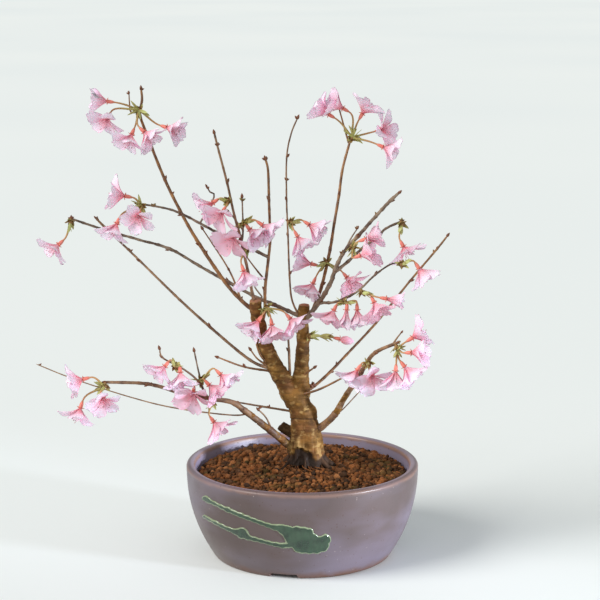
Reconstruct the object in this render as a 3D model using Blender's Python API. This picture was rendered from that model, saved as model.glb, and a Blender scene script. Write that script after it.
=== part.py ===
"""Flowering cherry bonsai in a round stoneware pot.

The pot stands with its underside on z = 0 and its axis on the z axis. The soil
fills it, the tree stands in a plain hole in the soil, and each spray of blossom
is a stalk piece seated on a shoot with its corollas on the ends of the stalks.
Shapes are worked out in millimetres and stored in metres.
"""

import math
import random
from typing import NamedTuple

import bmesh
import bpy
from mathutils import Matrix, Vector

MM = 0.001
GAP = 0.3

# Pot, turned stoneware
POT_RADIUS = 82.5
POT_HEIGHT = 66.0
POT_WALL = 6.4
POT_RIM_ROUND = 2.4
POT_FOOT_RADIUS = 63.0
POT_FLOOR = 7.0
POT_SEGMENTS = 36
INNER_ROWS = (11.0, 30.0, 63.6)
DRAIN_RADIUS = 6.0
DRAIN_RING = 36.0
NOTCH_WIDTH = 26.0
NOTCH_HEIGHT = 3.6
NOTCH_COUNT = 3
FIRST_NOTCH_DEG = -101.7

# Soil
SOIL_EDGE_LEVEL = 57.5
SOIL_MOUND = 4.5
SOIL_RINGS = 10
GRAIN_RELIEF = 1.3
GRAIN_SEED = 11

# Trunk and its root flare
TRUNK_SIDES = 12
FLARE_RADIUS = 14.5
FLARE_LOBES = 5
FLARE_LOBE_DEPTH = 0.17
TRUNK_X = 3.2
TRUNK_Y = 5.0
PLUG_DEPTH = 15.0

# Shoots
RING_STEP = 26.0
BUD_LENGTH = 3.2
BUD_SPACING = 25.0
BUD_SEED = 5

# Blossom
STALK_RADIUS = 0.5
SHORT_STALK = 8.0
KNOB_RADIUS = 1.9
CALYX_RADIUS = 1.45
CALYX_LENGTH = 5.2
MOUTH_AHEAD = 3.6
SEPAL_REACH = 2.9
PETAL_LENGTH = 14.2
PETAL_HALF_WIDTH = 4.4
PETAL_THICKNESS = 1.0
PETAL_CURL_DEG = 42.0
PETAL_TWIST_DEG = 13.0
PETAL_WIDEST = 0.57
PETAL_NOTCH = 0.88
PETAL_CUP = 0.25
PETAL_SHARE_DEG = 34.5
BUD_OPENING = 15.0
BUD_HALF_WIDTH = 3.1
HUB_RADIUS = 1.3
PETALS = 5

# The page on which the routes are drawn: it stands square to a line of sight
# that looks along +Y and down by PAGE_TILT_DEG, and passes through PAGE_CENTRE.
PAGE_DISTANCE = 1311.0
PAGE_TILT_DEG = 10.95
PAGE_CENTRE = Vector((-1.6, 0.0, 182.4))
PAGE_RIGHT = Vector((1.0, 0.0, 0.0))
PAGE_UP = Vector((0.0, math.sin(math.radians(PAGE_TILT_DEG)), math.cos(math.radians(PAGE_TILT_DEG))))
PAGE_IN = Vector((0.0, math.cos(math.radians(PAGE_TILT_DEG)), -math.sin(math.radians(PAGE_TILT_DEG))))
EYE = PAGE_CENTRE - PAGE_IN * PAGE_DISTANCE


class Shoot(NamedTuple):
    """One shoot: its end radii and its route as (across, up, back) on the page."""

    thick: float
    thin: float
    route: tuple
    buds: bool = True


class Bloom(NamedTuple):
    """One flower: the middle of its calyx on the page, how much nearer than its hub, and its pose."""

    letter: str
    across: float
    up: float
    nearer: float
    heading: float
    lean: float
    opening: float
    reach: float = 1.0
    spin: float = 0.0


class Spray(NamedTuple):
    """One spray: the shoot and page point it grows from, its flowers, and which are fused."""

    name: str
    shoot: str
    across: float
    up: float
    blooms: tuple
    groups: str


LIMBS = {
    "left_limb": Shoot(7.6, 4.0, (
        (-2.8, -72.0, 4.0), (-8.4, -61.6, 3.0), (-14.0, -52.5, 1.0), (-19.0, -43.4, -1.0),
        (-23.0, -35.0, -3.0), (-26.6, -27.3, -4.5), (-30.3, -9.0, -7.0), (-31.5, 0.7, -8.0)), False),
    "right_limb": Shoot(7.2, 3.7, (
        (-1.0, -73.0, 4.0), (0.2, -62.0, 5.0), (0.9, -52.5, 6.5), (1.5, -42.0, 8.0),
        (2.1, -28.0, 9.5), (2.3, -14.0, 10.5), (2.8, -2.8, 11.0)), False),
    "old_stub": Shoot(4.4, 3.6, ((0.0, -96.0, 6.0), (-8.0, -91.5, 7.5), (-13.5, -87.5, 8.5)), False),
}

SHOOTS = {
    "A": Shoot(1.55, 0.85, (
        (-31.0, -8.0, -7.0), (-39.9, -1.4, -7.0), (-52.5, 12.6, -3.0), (-70.0, 38.5, 5.0),
        (-81.2, 57.4, 11.0), (-94.5, 84.0, 19.0), (-107.1, 115.5, 28.0), (-112.0, 130.0, 32.0),
        (-110.6, 140.0, 34.0), (-111.3, 148.4, 36.0))),
    "B": Shoot(1.3, 0.8, (
        (-28.5, -20.0, -6.0), (-24.7, -8.4, -8.0), (-24.5, 7.0, -9.0), (-22.4, 26.6, -10.0),
        (-21.0, 42.0, -12.0), (-21.7, 70.0, -16.0), (-22.4, 91.0, -20.0), (-24.5, 99.4, -22.0))),
    "C": Shoot(1.25, 0.7, (
        (-31.5, -5.0, -8.0), (-33.6, 6.0, -10.0), (-36.4, 19.6, -14.0), (-41.3, 42.0, -21.0),
        (-46.2, 60.2, -27.0), (-51.0, 82.0, -33.0), (-56.7, 103.6, -40.0), (-60.2, 117.6, -44.0))),
    "D": Shoot(0.75, 0.55, (
        (0.5, -13.0, 10.5), (-5.6, 0.0, 12.0), (-7.4, 18.0, 15.0), (-8.4, 45.0, 18.0),
        (-9.4, 70.0, 21.0), (-9.3, 100.0, 24.0), (-6.0, 117.0, 26.0), (-1.4, 128.0, 27.0))),
    "E": Shoot(1.4, 0.9, (
        (3.0, -16.0, 10.5), (9.8, -4.9, 12.0), (15.4, 10.5, 15.0), (21.0, 35.0, 21.0),
        (23.8, 52.5, 26.0), (27.3, 73.5, 32.0), (29.9, 92.0, 37.0), (35.5, 113.0, 44.0))),
    "E_tip": Shoot(0.7, 0.45, ((34.0, 110.0, 43.0), (29.0, 128.0, 48.0), (23.8, 147.7, 52.0)), False),
    "F": Shoot(1.8, 1.0, (
        (2.5, -16.0, 10.0), (14.0, -0.7, 2.0), (21.7, 12.6, -6.0), (24.5, 21.0, -10.0),
        (30.8, 33.6, -16.0), (40.6, 44.8, -24.0), (53.9, 59.5, -36.0), (63.0, 69.3, -44.0),
        (70.0, 75.6, -50.0))),
    "G": Shoot(1.2, 0.8, (
        (24.0, 19.0, -9.5), (33.6, 27.0, -11.0), (45.5, 37.8, -9.0), (54.6, 44.1, -6.0),
        (60.0, 50.0, -3.0), (71.4, 55.3, 0.0))),
    "arc": Shoot(1.1, 0.5, (
        (13.0, -2.0, 3.0), (24.0, -1.5, -6.0), (31.5, 1.4, -12.0), (40.6, 6.3, -16.0),
        (52.5, 17.5, -21.0), (63.0, 24.8, -24.0), (71.4, 26.6, -26.0))),
    "H": Shoot(1.3, 0.7, (
        (0.0, -65.5, 4.0), (9.1, -60.9, 8.0), (21.0, -50.4, 13.0), (35.0, -35.7, 20.0),
        (53.2, -16.1, 29.0), (77.0, 13.3, 42.0), (95.9, 35.7, 52.0), (103.6, 45.5, 55.0))),
    "I": Shoot(1.0, 0.6, ((0.0, -66.5, 0.0), (14.0, -62.3, -6.0), (33.6, -52.5, -16.0))),
    "J": Shoot(3.1, 1.1, (
        (4.0, -95.0, 4.0), (14.7, -88.9, 1.0), (24.5, -79.8, -6.0), (31.5, -67.9, -13.0),
        (40.6, -54.6, -22.0), (46.2, -45.0, -28.0), (53.0, -36.6, -34.0), (69.0, -29.5, -46.0))),
    "K": Shoot(0.5, 0.4, ((22.5, -82.5, -4.0), (30.0, -76.5, -4.0), (42.0, -63.7, 2.0)), False),
    "L": Shoot(1.3, 0.7, (
        (-19.0, -48.5, 0.0), (-35.0, -42.0, 6.0), (-63.0, -18.9, 17.0), (-84.0, 0.0, 25.0),
        (-112.0, 27.3, 36.0), (-134.4, 49.0, 44.0), (-142.1, 56.7, 46.0))),
    "M": Shoot(0.9, 0.55, ((-15.0, -50.5, -1.0), (-38.5, -46.9, -12.0), (-58.1, -39.9, -20.0))),
    "N": Shoot(1.4, 0.8, (
        (1.5, -12.0, 11.0), (-17.5, -3.5, 11.0), (-29.4, 1.4, 10.0), (-50.4, 12.6, 9.0),
        (-67.9, 22.4, 6.0), (-91.0, 35.7, -2.0), (-112.0, 42.0, -9.0), (-134.4, 48.3, -17.0),
        (-160.5, 57.0, -26.0))),
    "O": Shoot(1.1, 0.7, (
        (-22.2, 30.0, -10.5), (-42.0, 39.9, -10.0), (-56.0, 46.2, -14.0), (-82.6, 60.2, -25.0),
        (-96.0, 64.6, -31.0), (-114.0, 67.5, -38.0))),
    "O_twig": Shoot(0.8, 0.5, ((-41.0, 39.5, -10.0), (-39.9, 49.0, -13.0), (-40.6, 72.8, -17.0))),
    "A_twig": Shoot(0.8, 0.45, ((-41.0, -0.5, -7.0), (-49.7, 21.0, -12.0), (-68.6, 50.4, -19.0))),
    "B_twig": Shoot(0.7, 0.45, ((-24.2, 13.5, -9.0), (-31.5, 22.4, -7.0), (-37.8, 30.8, -4.0))),
    "P": Shoot(3.3, 1.0, (
        (3.0, -105.0, 4.0), (-7.0, -102.0, 1.0), (-21.0, -91.0, -3.0), (-38.5, -77.7, -8.0),
        (-47.0, -71.8, -11.0), (-59.5, -69.3, -15.0), (-80.5, -65.8, -22.0), (-106.4, -58.8, -31.0),
        (-137.0, -57.5, -42.0))),
    "P_fork": Shoot(0.9, 0.5, (
        (-64.5, -68.5, -16.5), (-72.1, -56.0, -22.0), (-83.0, -47.5, -28.0), (-96.0, -40.5, -34.0),
        (-98.5, -33.5, -36.0))),
    "P_twig": Shoot(0.8, 0.5, ((-66.0, -68.0, -17.0), (-70.0, -54.6, -14.0), (-74.2, -35.0, -10.0))),
    "P_spur": Shoot(0.8, 0.5, ((-20.0, -90.0, -3.5), (-24.0, -82.0, -6.0), (-29.4, -76.5, -9.0))),
    "Q": Shoot(0.9, 0.6, ((1.0, -79.0, 3.0), (-26.6, -74.5, 6.0), (-44.0, -71.5, 10.0))),
    "R": Shoot(0.6, 0.4, (
        (-35.0, -79.5, -7.0), (-49.0, -80.5, -3.0), (-87.5, -75.6, 5.0), (-119.0, -67.9, 11.0),
        (-158.2, -55.3, 19.0), (-184.8, -44.8, 24.0)), False),
    "crotch": Shoot(1.1, 0.7, ((-7.0, -56.0, 3.0), (-7.7, -36.0, 2.0), (-8.4, -23.8, 1.0))),
    "limb_shoot": Shoot(0.9, 0.6, ((-19.5, -46.5, -3.0), (-27.5, -39.0, -7.0), (-31.8, -26.6, -8.0))),
    "limb_spur": Shoot(0.8, 0.5, ((-19.0, -48.5, -3.0), (-29.4, -41.5, -8.0), (-35.0, -34.3, -10.0))),
    "right_spur": Shoot(0.9, 0.6, ((1.0, -54.5, 3.0), (5.6, -50.4, 0.0), (10.5, -46.9, -2.0))),
}

SPRAYS = (
    Spray("01", "A", -112.4, 133.0, (
        Bloom("a", -131.5, 138.6, 14.0, 173.0, 5.0, 40.0, 0.95, 36.0),
        Bloom("b", -133.0, 130.2, 5.0, 250.0, 30.0, 70.0, 1.0, 18.0),
        Bloom("c", -116.5, 119.0, 10.0, 249.0, 15.0, 60.0),
        Bloom("d", -111.5, 120.0, 12.0, 316.0, 10.0, 54.0, 1.0, 18.0),
        Bloom("e", -96.6, 121.8, 4.0, 341.0, 15.0, 46.0)), "ab cd e"),
    Spray("02", "E", 36.5, 114.0, (
        Bloom("a", 23.1, 128.1, 3.0, 149.0, 0.0, 48.0, 1.0, 54.0),
        Bloom("b", 32.9, 132.5, 6.0, 152.0, 15.0, 46.0),
        Bloom("c", 42.0, 127.5, 3.0, 60.0, 15.0, 60.0, 1.0, 36.0),
        Bloom("d", 53.5, 118.3, 0.0, 12.0, 40.0, 70.0, 1.0, 18.0),
        Bloom("e", 55.0, 108.5, 7.0, 336.0, 5.0, 50.0)), "ab c de"),
    Spray("03", "O", -112.5, 67.5, (
        Bloom("a", -119.0, 72.1, 6.0, 170.0, 5.0, 52.0),
        Bloom("b", -126.7, 56.7, 7.0, 246.0, 10.0, 56.0),
        Bloom("c", -112.0, 61.6, 10.0, 262.0, 50.0, 66.0, 0.85)), "a b c"),
    Spray("04", "N", -159.5, 56.7, (
        Bloom("a", -166.5, 41.0, 4.0, 225.0, 15.0, 64.0, 0.95),), "a"),
    Spray("05", "C", -48.3, 70.0, (
        Bloom("a", -58.1, 70.0, 3.0, 214.0, 5.0, 54.0, 1.0, 36.0),
        Bloom("b", -52.5, 64.4, 9.0, 240.0, 30.0, 68.0)), "ab"),
    Spray("06", "O_twig", -40.6, 54.6, (
        Bloom("a", -45.5, 46.9, 4.0, 254.0, 38.0, 70.0, 1.08, 36.0),
        Bloom("b", -37.1, 51.5, 8.0, 313.0, 25.0, 48.0),
        Bloom("c", -29.4, 54.6, 8.0, 325.0, 0.0, 54.0, 1.0, 54.0)), "abc"),
    Spray("07", "O", -38.0, 37.8, (
        Bloom("a", -40.6, 23.8, 10.0, 288.0, 10.0, 50.0),), "a"),
    Spray("08", "D", -8.4, 55.3, (
        Bloom("a", 3.5, 54.6, -5.0, 327.0, 10.0, 46.0, 1.0, 18.0),
        Bloom("b", -3.5, 47.6, 9.0, 299.0, 0.0, 50.0, 1.0, 36.0)), "a b"),
    Spray("09", "E", 18.9, 26.0, (
        Bloom("a", 11.2, 24.5, 3.0, 168.0, 0.0, 40.0, 0.9),
        Bloom("b", 10.5, 14.7, 7.5, 246.0, 10.0, 56.0, 1.0, 54.0),
        Bloom("c", 30.8, 18.2, 8.0, 310.0, 20.0, 60.0)), "a b c"),
    Spray("10", "F", 36.0, 39.8, (
        Bloom("a", 42.5, 41.5, 7.0, 18.0, 5.0, 38.0, 0.9, 36.0),
        Bloom("b", 39.0, 30.0, 6.0, 18.0, 15.0, 54.0, 1.0, 36.0)), "ab"),
    Spray("11", "G", 70.5, 55.0, (
        Bloom("a", 70.7, 40.6, 4.0, 297.0, 5.0, 68.0),), "a"),
    Spray("12", "arc", 71.0, 26.6, (
        Bloom("a", 81.2, 25.2, 2.0, 304.0, 0.0, 50.0),), "a"),
    Spray("13", "arc", 31.5, 1.4, (
        Bloom("a", 25.2, -4.2, 3.0, 243.0, 5.0, 56.0),
        Bloom("b", 32.9, -3.5, 5.0, 266.0, 0.0, 24.0, 0.95, 54.0),
        Bloom("c", 39.9, -3.5, 2.0, 272.0, 0.0, 38.0, 0.9, 36.0)), "abc"),
    Spray("14", "arc", 41.5, 7.0, (
        Bloom("a", 50.4, 1.4, 5.0, 294.0, 15.0, 58.0, 1.0, 18.0),
        Bloom("b", 57.0, 1.5, 8.0, 350.0, 0.0, 26.0, 0.85, 36.0)), "ab"),
    Spray("15", "right_limb", 5.5, -24.0, (
        Bloom("a", 24.5, -26.6, 3.0, 348.0, 0.0, 8.0, 0.8),), "a"),
    Spray("16", "J", 48.3, -41.5, (
        Bloom("a", 42.0, -46.2, 9.0, 237.0, 0.0, 44.0, 0.95, 18.0),
        Bloom("b", 49.0, -50.0, 2.0, 290.0, 45.0, 68.0)), "ab"),
    Spray("17", "J", 66.5, -31.0, (
        Bloom("a", 67.2, -46.2, 5.0, 266.0, 0.0, 44.0),
        Bloom("b", 71.0, -43.8, 4.0, 308.0, 5.0, 46.0, 1.0, 36.0),
        Bloom("c", 74.5, -37.0, 7.0, 2.0, 20.0, 46.0, 0.95, 18.0),
        Bloom("d", 75.6, -28.4, 3.0, 32.0, 0.0, 56.0, 1.0, 54.0)), "ab cd"),
    Spray("18", "B", -24.6, -4.5, (
        Bloom("a", -27.3, -11.9, 9.0, 235.0, 15.0, 50.0),
        Bloom("b", -20.3, -14.0, 8.0, 279.0, 10.0, 56.0, 1.0, 54.0),
        Bloom("c", -9.1, -10.5, 6.0, 312.0, 15.0, 60.0)), "abc"),
    Spray("19", "P", -136.8, -57.5, (
        Bloom("a", -148.4, -54.6, 3.0, 194.0, 5.0, 52.0),
        Bloom("b", -152.6, -72.1, 4.0, 252.0, 5.0, 60.0),
        Bloom("c", -139.0, -65.8, 8.0, 290.0, 45.0, 64.0, 0.9)), "a b c"),
    Spray("20", "P_fork", -87.5, -45.0, (
        Bloom("a", -92.4, -43.7, 6.0, 233.0, 15.0, 58.0, 1.0, 36.0),
        Bloom("b", -84.0, -47.2, 5.0, 274.0, 10.0, 54.0)), "ab"),
    Spray("21", "P_twig", -69.6, -55.5, (
        Bloom("a", -74.2, -61.6, 8.0, 263.0, 35.0, 70.0, 1.08, 18.0),
        Bloom("b", -66.0, -57.0, 9.0, 313.0, 5.0, 50.0),
        Bloom("c", -58.1, -49.7, 4.0, 315.0, 5.0, 52.0, 1.0, 36.0)), "abc"),
    Spray("22", "P", -60.8, -69.0, (
        Bloom("a", -62.3, -82.6, 4.0, 306.0, 10.0, 56.0),), "a"),
)


def spot(across, up, back):
    """World point (mm) seen at (across, up) on the page and lying at y = back."""
    sight = PAGE_IN * PAGE_DISTANCE + PAGE_RIGHT * across + PAGE_UP * up
    return EYE + sight * ((back - EYE.y) / sight.y)


def on_page(point):
    """Where a world point (mm) is seen on the page."""
    sight = point - EYE
    scale = PAGE_DISTANCE / sight.dot(PAGE_IN)
    return sight.dot(PAGE_RIGHT) * scale, sight.dot(PAGE_UP) * scale


def aim(heading, lean):
    """Unit direction from a heading on the page and a lean towards the viewer."""
    turn, tilt = math.radians(heading), math.radians(lean)
    flat = PAGE_RIGHT * math.cos(turn) + PAGE_UP * math.sin(turn)
    return flat * math.cos(tilt) - PAGE_IN * math.sin(tilt)


def material(name, colour, roughness):
    made = bpy.data.materials.new(name)
    made.use_nodes = True
    shader = made.node_tree.nodes["Principled BSDF"]
    shader.inputs["Base Color"].default_value = (*colour, 1.0)
    shader.inputs["Roughness"].default_value = roughness
    made.diffuse_color = (*colour, 1.0)
    return made


def solid(name, points, faces, finish):
    """Object from points in mm and faces, turned to face outwards."""
    mesh = bpy.data.meshes.new(name)
    mesh.from_pydata([tuple(point * MM) for point in points], [], faces)
    shape = bmesh.new()
    shape.from_mesh(mesh)
    bmesh.ops.recalc_face_normals(shape, faces=shape.faces)
    shape.to_mesh(mesh)
    shape.free()
    mesh.materials.append(finish)
    made = bpy.data.objects.new(name, mesh)
    bpy.context.scene.collection.objects.link(made)
    return made


def boolean(body, others, operation):
    """Join others to body, or cut them from it, and remove them."""
    holder = bpy.data.collections.new(body.name + "_others")
    bpy.context.scene.collection.children.link(holder)
    for other in others:
        bpy.context.scene.collection.objects.unlink(other)
        holder.objects.link(other)
    modifier = body.modifiers.new("Boolean", "BOOLEAN")
    modifier.operation = operation
    modifier.operand_type = "COLLECTION"
    modifier.collection = holder
    modifier.solver = "EXACT"
    graph = bpy.context.evaluated_depsgraph_get()
    result = bpy.data.meshes.new_from_object(body.evaluated_get(graph))
    body.modifiers.clear()
    body.data = result
    for other in others:
        bpy.data.objects.remove(other)
    bpy.data.collections.remove(holder)
    return body


def side_vector(direction):
    """Unit vector square to a direction."""
    helper = Vector((0.0, 0.0, 1.0)) if abs(direction.z) < 0.9 else Vector((1.0, 0.0, 0.0))
    return direction.cross(helper).normalized()


def smooth_route(points, radii, step):
    """Points and radii along a smooth curve through the given ones, about a step apart."""
    path, widths = [], []
    padded = [points[0] * 2 - points[1], *points, points[-1] * 2 - points[-2]]
    for i in range(1, len(padded) - 2):
        p0, p1, p2, p3 = padded[i - 1:i + 3]
        pieces = max(1, round((p2 - p1).length / step))
        for k in range(pieces):
            t = k / pieces
            path.append(0.5 * (2 * p1 + (p2 - p0) * t + (2 * p0 - 5 * p1 + 4 * p2 - p3) * t ** 2
                               + (3 * p1 - p0 - 3 * p2 + p3) * t ** 3))
            widths.append(radii[i - 1] + (radii[i] - radii[i - 1]) * t)
    return path + [points[-1]], widths + [radii[-1]]


def tube(name, path, radii, sides, finish, shape=None):
    """Closed tube round a path, with an optional factor on the radius by (ring, angle)."""
    points = []
    across = side_vector(path[1] - path[0])
    for i, centre in enumerate(path):
        along = (path[min(i + 1, len(path) - 1)] - path[max(i - 1, 0)]).normalized()
        across = (across - along * across.dot(along)).normalized()
        other = along.cross(across)
        for k in range(sides):
            angle = 2 * math.pi * k / sides
            radius = radii[i] * (shape(i, angle) if shape else 1.0)
            points.append(centre + (across * math.cos(angle) + other * math.sin(angle)) * radius)
    faces = []
    for i in range(len(path) - 1):
        for k in range(sides):
            a, b = i * sides + k, i * sides + (k + 1) % sides
            faces.append((a, b, b + sides, a + sides))
    faces.append(tuple(reversed(range(sides))))
    faces.append(tuple(range(len(points) - sides, len(points))))
    return solid(name, points, faces, finish)


def turned(name, profile, segments, finish):
    """Closed solid of revolution: the profile starts and ends on the z axis."""
    points = [Vector((0.0, 0.0, profile[0][1]))]
    for radius, height in profile[1:-1]:
        for k in range(segments):
            angle = 2 * math.pi * k / segments
            points.append(Vector((radius * math.cos(angle), radius * math.sin(angle), height)))
    points.append(Vector((0.0, 0.0, profile[-1][1])))
    faces = []
    for k in range(segments):
        faces.append((0, 1 + k, 1 + (k + 1) % segments))
        for row in range(len(profile) - 3):
            a, b = 1 + row * segments + k, 1 + row * segments + (k + 1) % segments
            faces.append((a, b, b + segments, a + segments))
        last = 1 + (len(profile) - 3) * segments
        faces.append((len(points) - 1, last + (k + 1) % segments, last + k))
    return solid(name, points, faces, finish)


def outer_radius(height):
    """Radius of the pot's outside at a height."""
    rise = height / POT_HEIGHT
    return POT_FOOT_RADIUS + (POT_RADIUS - POT_FOOT_RADIUS) * (1.0 - (1.0 - rise) ** 2.3)


def inner_radius(height):
    """Radius of the pot's inside at a height, on the straight facets between its rows."""
    for low, high in zip(INNER_ROWS, INNER_ROWS[1:]):
        if height <= high:
            break
    share = (height - low) / (high - low)
    return outer_radius(low) * (1 - share) + outer_radius(high) * share - POT_WALL


def pot_profile():
    """The pot's section, from the middle of its floor round the rim to the middle of its underside."""
    rim = POT_HEIGHT - POT_RIM_ROUND
    profile = [(0.0, POT_FLOOR), (POT_FOOT_RADIUS - 8.0, POT_FLOOR)]
    profile += [(inner_radius(height), height) for height in INNER_ROWS]
    middle = POT_RADIUS - POT_WALL / 2
    for degrees in (130.0, 90.0, 50.0):
        turn = math.radians(degrees)
        profile.append((middle + POT_WALL / 2 * math.cos(turn), rim + POT_RIM_ROUND * math.sin(turn)))
    profile += [(outer_radius(height), height) for height in (rim, 47.0, 28.0, 12.0, 3.0)]
    profile += [(POT_FOOT_RADIUS - 1.5, 0.0), (0.0, 0.0)]
    return profile


def make_pot(finish):
    """Turned pot with three drain holes, each with a shallow notch out to the edge of the foot."""
    pot = turned("pot", pot_profile(), POT_SEGMENTS, finish)
    cutters = []
    for k in range(NOTCH_COUNT):
        turn = math.radians(FIRST_NOTCH_DEG + 360.0 * k / NOTCH_COUNT)
        out = Vector((math.cos(turn), math.sin(turn), 0.0))
        aside = Vector((-out.y, out.x, 0.0))
        hole = [out * DRAIN_RING + Vector((0, 0, -1.0)), out * DRAIN_RING + Vector((0, 0, POT_FLOOR + 1.0))]
        cutters.append(tube("drain_cutter", hole, [DRAIN_RADIUS] * 2, 12, finish))
        corners = []
        for reach, half, level in ((DRAIN_RING, DRAIN_RADIUS * 0.6, NOTCH_HEIGHT * 0.6),
                                   (POT_FOOT_RADIUS + 6.0, NOTCH_WIDTH / 2, NOTCH_HEIGHT)):
            corners += [out * reach + aside * half * side + Vector((0, 0, height))
                        for side, height in ((-1, -1.0), (1, -1.0), (0.8, level), (-0.8, level))]
        faces = [(3, 2, 1, 0), (4, 5, 6, 7)] + [(i, (i + 1) % 4, 4 + (i + 1) % 4, 4 + i) for i in range(4)]
        cutters.append(solid("notch_cutter", corners, faces, finish))
    return boolean(pot, cutters, "DIFFERENCE")


def soil_level(x, y):
    """Height of the soil surface before its grains: highest at the foot of the trunk."""
    away = math.hypot(x - TRUNK_X, y - TRUNK_Y) / inner_radius(SOIL_EDGE_LEVEL)
    return SOIL_EDGE_LEVEL + SOIL_MOUND * max(0.0, 1.0 - away) ** 0.8


def make_soil(finish, plug):
    """Soil that fills the pot, with a granular top and a plain hole for the foot of the tree."""
    draw = random.Random(GRAIN_SEED)
    shrink = math.cos(math.pi / POT_SEGMENTS)
    edge = inner_radius(SOIL_EDGE_LEVEL - GRAIN_RELIEF) * shrink - GAP
    points, starts = [Vector((0.0, 0.0, soil_level(0.0, 0.0)))], [0]
    for ring in range(1, SOIL_RINGS + 1):
        starts.append(len(points))
        for k in range(6 * ring):
            angle, radius = 2 * math.pi * k / (6 * ring), edge * ring / SOIL_RINGS
            x, y = radius * math.cos(angle), radius * math.sin(angle)
            if ring < SOIL_RINGS:
                x += draw.uniform(-1.4, 1.4)
                y += draw.uniform(-1.4, 1.4)
            grain = draw.uniform(-GRAIN_RELIEF, GRAIN_RELIEF) * (1.0 if ring < SOIL_RINGS else 0.4)
            points.append(Vector((x, y, soil_level(x, y) + grain)))
    faces = []
    for ring in range(SOIL_RINGS):
        inner, outer = starts[ring], starts[ring + 1]
        count, more = max(1, 6 * ring), 6 * (ring + 1)
        for sector in range(6):
            for k in range(ring + 1):
                a = outer + (sector * (ring + 1) + k) % more
                b = outer + (sector * (ring + 1) + k + 1) % more
                c = inner + (sector * ring + k) % count
                faces.append((a, b, c))
                if k < ring:
                    faces.append((c, b, inner + (sector * ring + k + 1) % count))
    rows, around = [starts[-1]], 6 * SOIL_RINGS
    for radius, height in ((inner_radius(INNER_ROWS[1]), INNER_ROWS[1]),
                           (inner_radius(INNER_ROWS[0]) - GAP, INNER_ROWS[0] + GAP),
                           (POT_FOOT_RADIUS - 8.0 - GAP, POT_FLOOR + GAP)):
        rows.append(len(points))
        for k in range(around):
            angle = 2 * math.pi * k / around
            reach = radius * shrink - GAP
            points.append(Vector((reach * math.cos(angle), reach * math.sin(angle), height)))
    for upper, lower in zip(rows, rows[1:]):
        for k in range(around):
            following = (k + 1) % around
            faces.append((upper + k, lower + k, lower + following, upper + following))
    faces.append(tuple(rows[-1] + k for k in range(around)))
    return boolean(solid("soil", points, faces, finish), [plug], "DIFFERENCE")


def trunk_shape(extra):
    """Centre line, radii and lobe depth of the trunk from its plug up to the fork."""
    foot = soil_level(TRUNK_X, TRUNK_Y)
    ground = Vector((TRUNK_X, TRUNK_Y, foot))
    rows = [(ground + Vector((0, 0, -PLUG_DEPTH - extra)), FLARE_RADIUS * 0.62, 0.5),
            (ground + Vector((0, 0, -4.0)), FLARE_RADIUS * 0.9, 1.0),
            (ground + Vector((0, 0, 2.0)), FLARE_RADIUS * 0.93, 1.0),
            (ground + Vector((0, 0, 6.5)), FLARE_RADIUS * 0.82, 0.8),
            (spot(4.2, -98.0, 5.0), 11.2, 0.45), (spot(4.2, -93.0, 5.0), 10.4, 0.3),
            (spot(2.8, -86.0, 4.5), 9.3, 0.2), (spot(1.2, -78.5, 4.0), 8.6, 0.1),
            (spot(-1.0, -71.5, 4.0), 7.9, 0.1), (spot(-2.6, -65.5, 4.0), 7.8, 0.1),
            (spot(-3.3, -60.5, 4.0), 7.0, 0.1)]
    return [row[0] for row in rows], [row[1] + extra for row in rows], [row[2] for row in rows]


def make_trunk(name, extra, finish):
    """Trunk with its root flare; a little fatter all round where extra is given."""
    path, radii, lobes = trunk_shape(extra)

    def lobed(ring, angle):
        return 1.0 + FLARE_LOBE_DEPTH * lobes[ring] * math.cos(FLARE_LOBES * angle + 0.7)

    return tube(name, path, radii, TRUNK_SIDES, finish, lobed)


def shoot_curve(shoot):
    """Smooth centre line (mm) of a shoot with its radii."""
    points = [spot(*place) for place in shoot.route]
    last = len(points) - 1
    radii = [shoot.thick + (shoot.thin - shoot.thick) * (i / last) ** 0.7 for i in range(last + 1)]
    return smooth_route(points, radii, RING_STEP)


def bud(name, base, along, aside, radius, finish):
    """Pointed bud on a shoot, leaning forward, its root sunk in the shoot."""
    lean = (along * 0.75 + aside * 0.65).normalized()
    path = [base + lean * radius * 0.3, base + lean * (radius + BUD_LENGTH)]
    return tube(name, path, [1.15, 0.18], 3, finish)


def shoot_buds(path, radii, hubs, draw, finish):
    """Buds at even spacing along a shoot, on alternate sides, clear of the sprays."""
    buds, since, turn = [], BUD_SPACING * 0.2, draw.uniform(0.0, 6.28)
    for i in range(1, len(path) - 1):
        since += (path[i] - path[i - 1]).length
        if since < BUD_SPACING or any((path[i] - hub).length < 8.0 for hub in hubs):
            continue
        since = draw.uniform(-2.0, 2.0)
        turn += math.radians(144.0)
        along = (path[i + 1] - path[i - 1]).normalized()
        across = side_vector(along)
        aside = across * math.cos(turn) + along.cross(across) * math.sin(turn)
        buds.append(bud("bud", path[i], along, aside, radii[i], finish))
    return buds


def make_tree(finish):
    """Trunk, limbs, shoots and buds, grown together in one solid."""
    draw = random.Random(BUD_SEED)
    hubs = [hub_place(spray)[0] for spray in SPRAYS]
    pieces = []
    for name, limb in LIMBS.items():
        path, radii = shoot_curve(limb)
        pieces.append(tube(name, path, radii, 9, finish))
    for name, shoot in SHOOTS.items():
        path, radii = shoot_curve(shoot)
        sides = 6 if shoot.thick > 1.7 else 5 if shoot.thick > 1.35 else 4
        pieces.append(tube("shoot_" + name, path, radii, sides, finish))
        if shoot.buds:
            pieces += shoot_buds(path, radii, hubs, draw, finish)
            tip = (path[-1] - path[-2]).normalized()
            pieces.append(bud("tip_bud", path[-1] - tip * 1.5, tip, tip, 0.6, finish))
    return boolean(make_trunk("tree", 0.0, finish), pieces, "UNION")


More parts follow.
